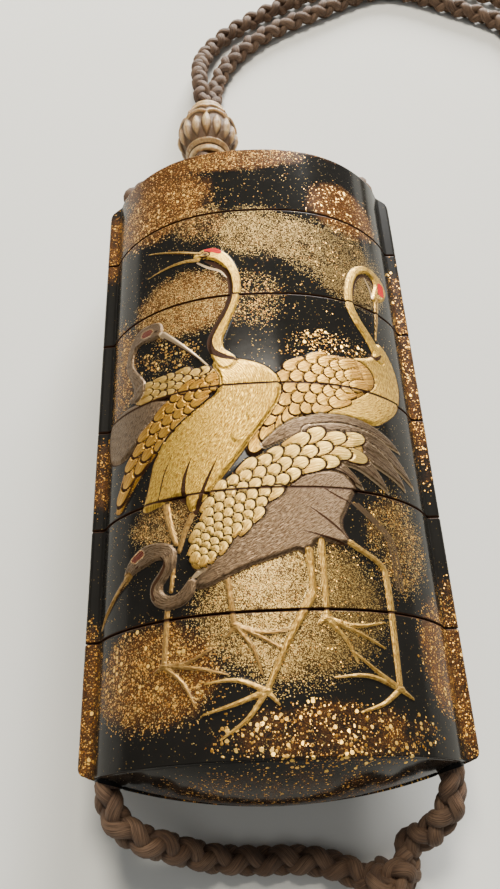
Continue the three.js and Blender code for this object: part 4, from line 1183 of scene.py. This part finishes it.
# %% Hang the lights
def soft_light(name, place, aim, size, power, tint=(1.0, 1.0, 1.0)):
    """A square sheet of light; places and size are in metres, power in watts."""
    lamp = bpy.data.lights.new(name, "AREA")
    lamp.shape, lamp.size, lamp.energy, lamp.color = "SQUARE", size, power, tint
    holder = bpy.data.objects.new(name, lamp)
    bpy.context.scene.collection.objects.link(holder)
    place, aim = Vector(place), Vector(aim)
    holder.location = place
    holder.rotation_euler = (aim - place).to_track_quat("-Z", "Y").to_euler()


soft_light("window", (0.25, 0.9, 0.33), (0, 0.02, 0), 0.34, 30.0, (1.0, 0.985, 0.95))
soft_light("overhead", (-0.1, -0.35, 0.9), (0, 0, 0), 0.5, 0.7)
soft_light("glow_on_gold", (-0.012, 0.268, 0.56), (0, 0, 0.01), 0.17, 4.6, (1.0, 0.93, 0.80))
world = bpy.data.worlds.new("pale_room")
bpy.context.scene.world = world
world.use_nodes = True
room = world.node_tree.nodes["Background"]
room.inputs["Color"].default_value = (0.93, 0.95, 0.95, 1)
room.inputs["Strength"].default_value = 0.28

# %% [markdown]
# ## Writing finishes as sums
# A finish is worked out at every point of a surface. To keep the sums readable, one small class
# wraps a socket, so that adding or multiplying two values adds the Math nodes that do it.
# Colours go through Mix nodes and vectors through Vector Math.

# %% A small language for finishes
class Value:
    """A socket of a finish, with the usual signs for sums."""

    def __init__(self, finish, socket):
        self.finish, self.socket = finish, socket

    def _sum(self, operation, a, b):
        return self.finish.node("ShaderNodeMath", {"operation": operation}, [a, b])

    def __add__(self, other):
        return self._sum("ADD", self, other)

    def __sub__(self, other):
        return self._sum("SUBTRACT", self, other)

    def __rsub__(self, other):
        return self._sum("SUBTRACT", other, self)

    def __mul__(self, other):
        return self._sum("MULTIPLY", self, other)

    __radd__ = __add__
    __rmul__ = __mul__

    def power(self, exponent):
        return self._sum("POWER", self, exponent)

    def most(self, other):
        return self._sum("MAXIMUM", self, other)

    def ramp(self, low, high):
        """A soft step from 0 at low to 1 at high."""
        return self.finish.node(
            "ShaderNodeMapRange", {"interpolation_type": "SMOOTHSTEP"},
            {"Value": self, "From Min": low, "From Max": high, "To Min": 0.0, "To Max": 1.0},
        )


class Finish:
    """A material whose nodes are added one sum at a time."""

    def __init__(self, name, **plain):
        self.material = bpy.data.materials.new(name)
        self.material.use_nodes = True
        self.tree = self.material.node_tree
        self.shader = self.tree.nodes["Principled BSDF"]
        self.set(plain)

    def link(self, socket, value):
        if isinstance(value, Value):
            self.tree.links.new(value.socket, socket)
        elif value is not None:
            socket.default_value = value

    def node(self, kind, settings=None, values=None, out=0):
        """Add a node of a kind, with its settings first and then its values or links."""
        node = self.tree.nodes.new(kind)
        for name, value in (settings or {}).items():
            setattr(node, name, value)
        pairs = values.items() if isinstance(values, dict) else enumerate(values or [])
        for name, value in pairs:
            self.link(node.inputs[name], value)
        return Value(self, node.outputs[out])

    def set(self, sockets):
        """Set the shader's own sockets, such as Roughness."""
        for name, value in sockets.items():
            self.link(self.shader.inputs[name], value)

    def note(self, name, out=2):
        """A number kept at the mesh's points: out 0 is a colour, 1 a vector, 2 a value."""
        return self.node("ShaderNodeAttribute", {"attribute_name": name}, out=out)

    def place(self):
        """The place on the object, in millimetres."""
        where = self.node("ShaderNodeTexCoord", out=3)
        return self.stretch(where, (1000.0, 1000.0, 1000.0))

    def vectors(self, operation, *values):
        """A sum of vectors."""
        return self.node("ShaderNodeVectorMath", {"operation": operation}, values)

    def stretch(self, vector, by):
        return self.vectors("MULTIPLY", vector, by)

    def parts(self, vector):
        """The three numbers of a vector or a colour."""
        node = self.node("ShaderNodeSeparateXYZ", None, [vector]).socket.node
        return [Value(self, socket) for socket in node.outputs]

    def noise(self, where, scale, detail=2.0, rough=0.5):
        return self.node(
            "ShaderNodeTexNoise", {"noise_dimensions": "3D"},
            {"Vector": where, "Scale": scale, "Detail": detail, "Roughness": rough},
        )

    def cells(self, where, scale):
        """Distance to the nearest grain's middle, and that grain's own random colour."""
        node = self.node(
            "ShaderNodeTexVoronoi", {"voronoi_dimensions": "3D", "feature": "F1"},
            {"Vector": where, "Scale": scale, "Randomness": 1.0},
        ).socket.node
        return Value(self, node.outputs["Distance"]), Value(self, node.outputs["Color"])

    def mix(self, share, a, b):
        """A colour between a and b."""
        node = self.tree.nodes.new("ShaderNodeMix")
        node.data_type = "RGBA"
        sockets = [s for s in node.inputs if s.enabled]
        self.link(sockets[0], share)
        self.link(sockets[1], a if isinstance(a, Value) else (*a, 1.0))
        self.link(sockets[2], b if isinstance(b, Value) else (*b, 1.0))
        return Value(self, next(s for s in node.outputs if s.enabled))

    def bump(self, height, distance, strength):
        return self.node(
            "ShaderNodeBump", None,
            {"Height": height, "Distance": distance, "Strength": strength},
        )

    def wear(self, *pieces):
        """Put the finish on pieces."""
        for piece in pieces:
            piece.data.materials.clear()
            piece.data.materials.append(self.material)

# %% [markdown]
# ## Lacquer, gold dust and raised gold
# The ground is glossy black lacquer. The clouds are grains of gold under and in it: the chance
# at each point says which grains show, and every grain has its own tint and its own tilt, so a
# few of them flash. The cranes are gold or silver powder on raised lacquer, with fine hairs
# drawn along each body, so their colour is streaked along the grain.

# %% Mix the lacquer
def lacquer_finish():
    """Black lacquer with gold dust, and cranes in raised gold and silver."""
    f = Finish("gold_dusted_lacquer")
    where = f.place()
    inside = {kind: f.note(kind) for kind in KINDS}
    fine, flake, large = f.parts(f.note("dust", 1))
    brown = f.note("brown")
    broken = (f.noise(where, 0.45, 3.0, 0.6) - 0.5) * 1.5  # wears ragged edges into the clouds

    ground = f.mix(f.noise(where, 0.3, 2.0), (0.0075, 0.007, 0.006), (0.012, 0.011, 0.0095))
    speck = f.noise(where, 6.0, 2.0, 0.7)
    brown_share = (brown * 1.15 + broken * 0.7 + (speck - 0.5) * 0.7).ramp(0.25, 1.05)
    rust = f.mix(speck.ramp(0.3, 0.75), (0.036, 0.013, 0.0045), (0.165, 0.066, 0.016))
    ground = f.mix(brown_share * 0.9, ground, rust)
    haze_share = (fine * 1.3 + broken * 0.7).ramp(0.35, 1.3) * (0.15 + speck * 0.45)
    ground = f.mix(haze_share, ground, (0.13, 0.070, 0.017))

    def grains(scale, chance, size):
        """Where grains of one size show, how each is tinted, and its random colour."""
        away, colour = f.cells(where, scale)
        pick, tint, _ = f.parts(colour)
        shows = (chance - pick).ramp(0.0, 0.02) * (size + tint * 0.2 - away).ramp(0.0, 0.06)
        return shows, tint, colour

    # grains to a millimetre, their chance, and their size in their cell
    dust, dust_tint, _ = grains(8.6, fine * 0.85 + broken * fine * 0.9 + 0.012, 0.46)
    leaf, leaf_tint, leaf_colour = grains(4.6, flake * 0.6 + broken * flake * 0.7, 0.38)
    big, big_tint, big_colour = grains(1.9, large * 0.5 + broken * large * 0.7, 0.34)
    dust_gold = f.mix(dust_tint, (0.18, 0.098, 0.024), (0.72, 0.49, 0.155))
    leaf_gold = f.mix(leaf_tint.power(1.4), (0.34, 0.12, 0.016), (0.92, 0.50, 0.085))
    big_gold = f.mix(big_tint, (0.60, 0.25, 0.025), (0.97, 0.61, 0.13))
    colour = f.mix(dust * 0.85, ground, dust_gold)
    colour = f.mix(leaf, colour, leaf_gold)
    colour = f.mix(big, colour, big_gold)
    metal = dust.most(leaf).most(big)

    along, across, kind_of = f.parts(f.note("grain", 1))
    hair_place = f.node(
        "ShaderNodeCombineXYZ", None, [along * 1.6, across * 6.5, kind_of * 7.0]
    )
    hairs = f.noise(hair_place, 1.0, 3.0, 0.6)
    hair = hairs.ramp(0.32, 0.66)
    feather = kind_of.ramp(2.85, 2.95) * (1 - kind_of.ramp(3.75, 3.85))
    warm = (kind_of - FEATHERS).ramp(0.0, 0.7) * feather
    reach = (along - FEATHER_FROM).ramp(-0.15, 0.5)
    worn = f.noise(where, 1.5, 4.0, 0.7).ramp(0.35, 0.65)
    gold = f.mix(hair, (0.23, 0.100, 0.013), (0.88, 0.57, 0.085))
    gold = f.mix(worn * 0.5, gold, (0.46, 0.25, 0.040))
    silver = f.mix(hair, (0.072, 0.044, 0.024), (0.205, 0.138, 0.080))
    silver = f.mix(worn * 0.3, silver, (0.16, 0.095, 0.045))
    limb = kind_of.ramp(3.85, 3.95)
    gold = f.mix(limb, gold, f.mix(hair, (0.24, 0.115, 0.022), (0.68, 0.42, 0.10)))
    silver = f.mix(limb, silver, f.mix(hair, (0.18, 0.090, 0.022), (0.44, 0.26, 0.075)))
    silver = f.mix(kind_of.ramp(4.85, 4.95), silver, (0.17, 0.045, 0.028))
    bright = f.mix(warm, (0.90, 0.61, 0.155), (0.66, 0.35, 0.040))
    base = f.mix(warm, (0.38, 0.195, 0.030), (0.29, 0.125, 0.014))
    pale = f.mix((hair * 0.45 + reach * 0.65) * (1 - worn * 0.25), base, bright)
    plume = 1 - kind_of.ramp(2.5, 2.9)
    pale = f.mix(plume, pale, (0.46, 0.33, 0.19))
    edge = 0.035  # half the width over which one colour turns into another
    # the dark line colour also paints the shade beside each seam
    layers = (
        ("gold", gold), ("silver", silver), ("pale", pale),
        ("ink_and_seam_shade", (0.036, 0.014, 0.005)), ("red", (0.50, 0.012, 0.008)),
    )
    figure = None
    for kind, paint in layers:
        mask = inside[kind].ramp(-edge, edge)
        colour = f.mix(mask, colour, paint)
        figure = mask if figure is None else figure.most(mask)
    dull = inside["ink_and_seam_shade"].ramp(-edge, edge).most(inside["red"].ramp(-edge, edge))
    metallic = (metal * 0.8 * (1 - figure)).most(figure * 0.85) * (1 - dull * 0.85)

    gloss = f.noise(where, 2.2, 3.0, 0.6) * 0.05 + 0.115
    rough = gloss + metal * 0.22 + brown_share * 0.10 + f.note("dull") * 0.35
    rough = rough * (1 - figure) + figure * (0.33 + (1 - hair) * 0.12) + dull * 0.25
    height = (dust * 0.02 + leaf * 0.035 + big * 0.05) * (1 - figure) + figure * (hair * 0.05)
    height = height + f.noise(where, 0.5, 1.0) * 0.008
    out = f.bump(height, 0.001, 0.8)
    tilts = f.mix(leaf, big_colour, leaf_colour)
    lean = f.vectors("SUBTRACT", tilts, (0.5, 0.5, 0.5))
    lean = f.node(
        "ShaderNodeVectorMath", {"operation": "SCALE"},
        {"Vector": lean, "Scale": leaf.most(big) * (1 - figure) * 0.55},
    )
    tilted = f.vectors("NORMALIZE", f.vectors("ADD", out, lean))
    f.set({"Base Color": colour, "Metallic": metallic, "Roughness": rough, "Normal": tilted})
    f.set({"Specular IOR Level": 0.09})
    return f


lacquer = lacquer_finish()
lacquer.wear(*sections)
print("lacquer has", len(lacquer.tree.nodes), "nodes")

# %% [markdown]
# ## Silk, bone and paper
# The silk plait is brown with a reddish cast. Each strand is many fine threads, which show as
# streaks along it, and painted shade darkens it where strands dive under each other. The bead
# is warm old bone, browner in its cuts. The paper is nearly plain.

# %% Mix the silk
def silk_finish(name, noted):
    """Brown silk; noted strands have their own places along and across."""
    f = Finish(name, **{"Sheen Weight": 0.08, "Sheen Roughness": 0.4})
    f.shader.inputs["Sheen Tint"].default_value = (0.55, 0.38, 0.28, 1.0)
    where = f.place()
    if noted:
        along, across, over = f.parts(f.note("thread", 1))
        thread = f.node("ShaderNodeCombineXYZ", None, [along * 0.5, across * 7.0, 0.0])
        # painted shade: a strand is darker where it dives under the crossing strands
        deep = over.ramp(-0.9, 0.5)
    else:
        thread = f.stretch(where, (7.0, 0.8, 7.0))
        deep = f.noise(where, 0.6, 1.0)
    streaks = f.noise(thread, 1.0, 3.0, 0.65)
    fade = f.noise(where, 0.22, 3.0, 0.6)
    dark = f.mix(fade.ramp(0.35, 0.65), (0.028, 0.0130, 0.0065), (0.047, 0.0235, 0.0120))
    light = f.mix(fade.ramp(0.35, 0.65), (0.155, 0.084, 0.044), (0.220, 0.130, 0.074))
    # deep dims the light threads: painted shade on the plait, random clouding on the cord in the
    # channels
    colour = f.mix(streaks.ramp(0.3, 0.7) * (0.35 + deep * 0.6), dark, light)
    out = f.bump(streaks, 0.00022, 0.9)
    f.set({"Base Color": colour, "Roughness": 0.62 + streaks * 0.2, "Normal": out})
    return f


silk = silk_finish("brown_silk", True)
silk.wear(top_cord, bottom_cord, knot)
held_silk = silk_finish("brown_silk_in_channel", False)
held_silk.wear(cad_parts["cord_in_left_channel"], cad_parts["cord_in_right_channel"])

# %% Mix the bone and the paper
def bone_finish():
    """Old carved bone, browner where it is cut."""
    f = Finish("carved_old_bone", **{"Subsurface Weight": 0.12, "Subsurface Scale": 0.0015})
    where = f.place()
    cut = f.note("hollow")
    grain = f.noise(f.stretch(where, (1.0, 0.35, 1.0)), 1.6, 4.0, 0.6)
    fine = f.noise(f.stretch(where, (3.0, 0.8, 3.0)), 3.0, 3.0, 0.6)
    warm = f.mix(grain.ramp(0.3, 0.7), (0.30, 0.165, 0.052), (0.58, 0.39, 0.165))
    stain = f.mix(fine, (0.045, 0.018, 0.005), (0.11, 0.052, 0.018))
    colour = f.mix((cut * 1.1 + (grain - 0.5) * 0.3).ramp(0.12, 0.85) * 0.92, warm, stain)
    out = f.bump(fine + grain * 0.6, 0.00012, 0.7)
    f.set({"Base Color": colour, "Roughness": 0.36 + cut * 0.25 + fine * 0.1, "Normal": out})
    return f


def paper_finish():
    """Plain pale paper with the faintest clouding."""
    f = Finish("pale_paper", **{"Roughness": 0.95, "Specular IOR Level": 0.2})
    where = f.place()
    cloud = f.noise(where, 0.02, 3.0, 0.6)
    fibre = f.noise(where, 1.5, 3.0, 0.6)
    colour = f.mix(cloud, (0.66, 0.66, 0.62), (0.71, 0.705, 0.665))
    f.set({"Base Color": colour, "Normal": f.bump(fibre, 0.00003, 0.3)})
    return f


bone = bone_finish()
bone.wear(bead)
paper = paper_finish()
paper.wear(floor)
print("finishes:", [f.material.name for f in (lacquer, silk, held_silk, bone, paper)])
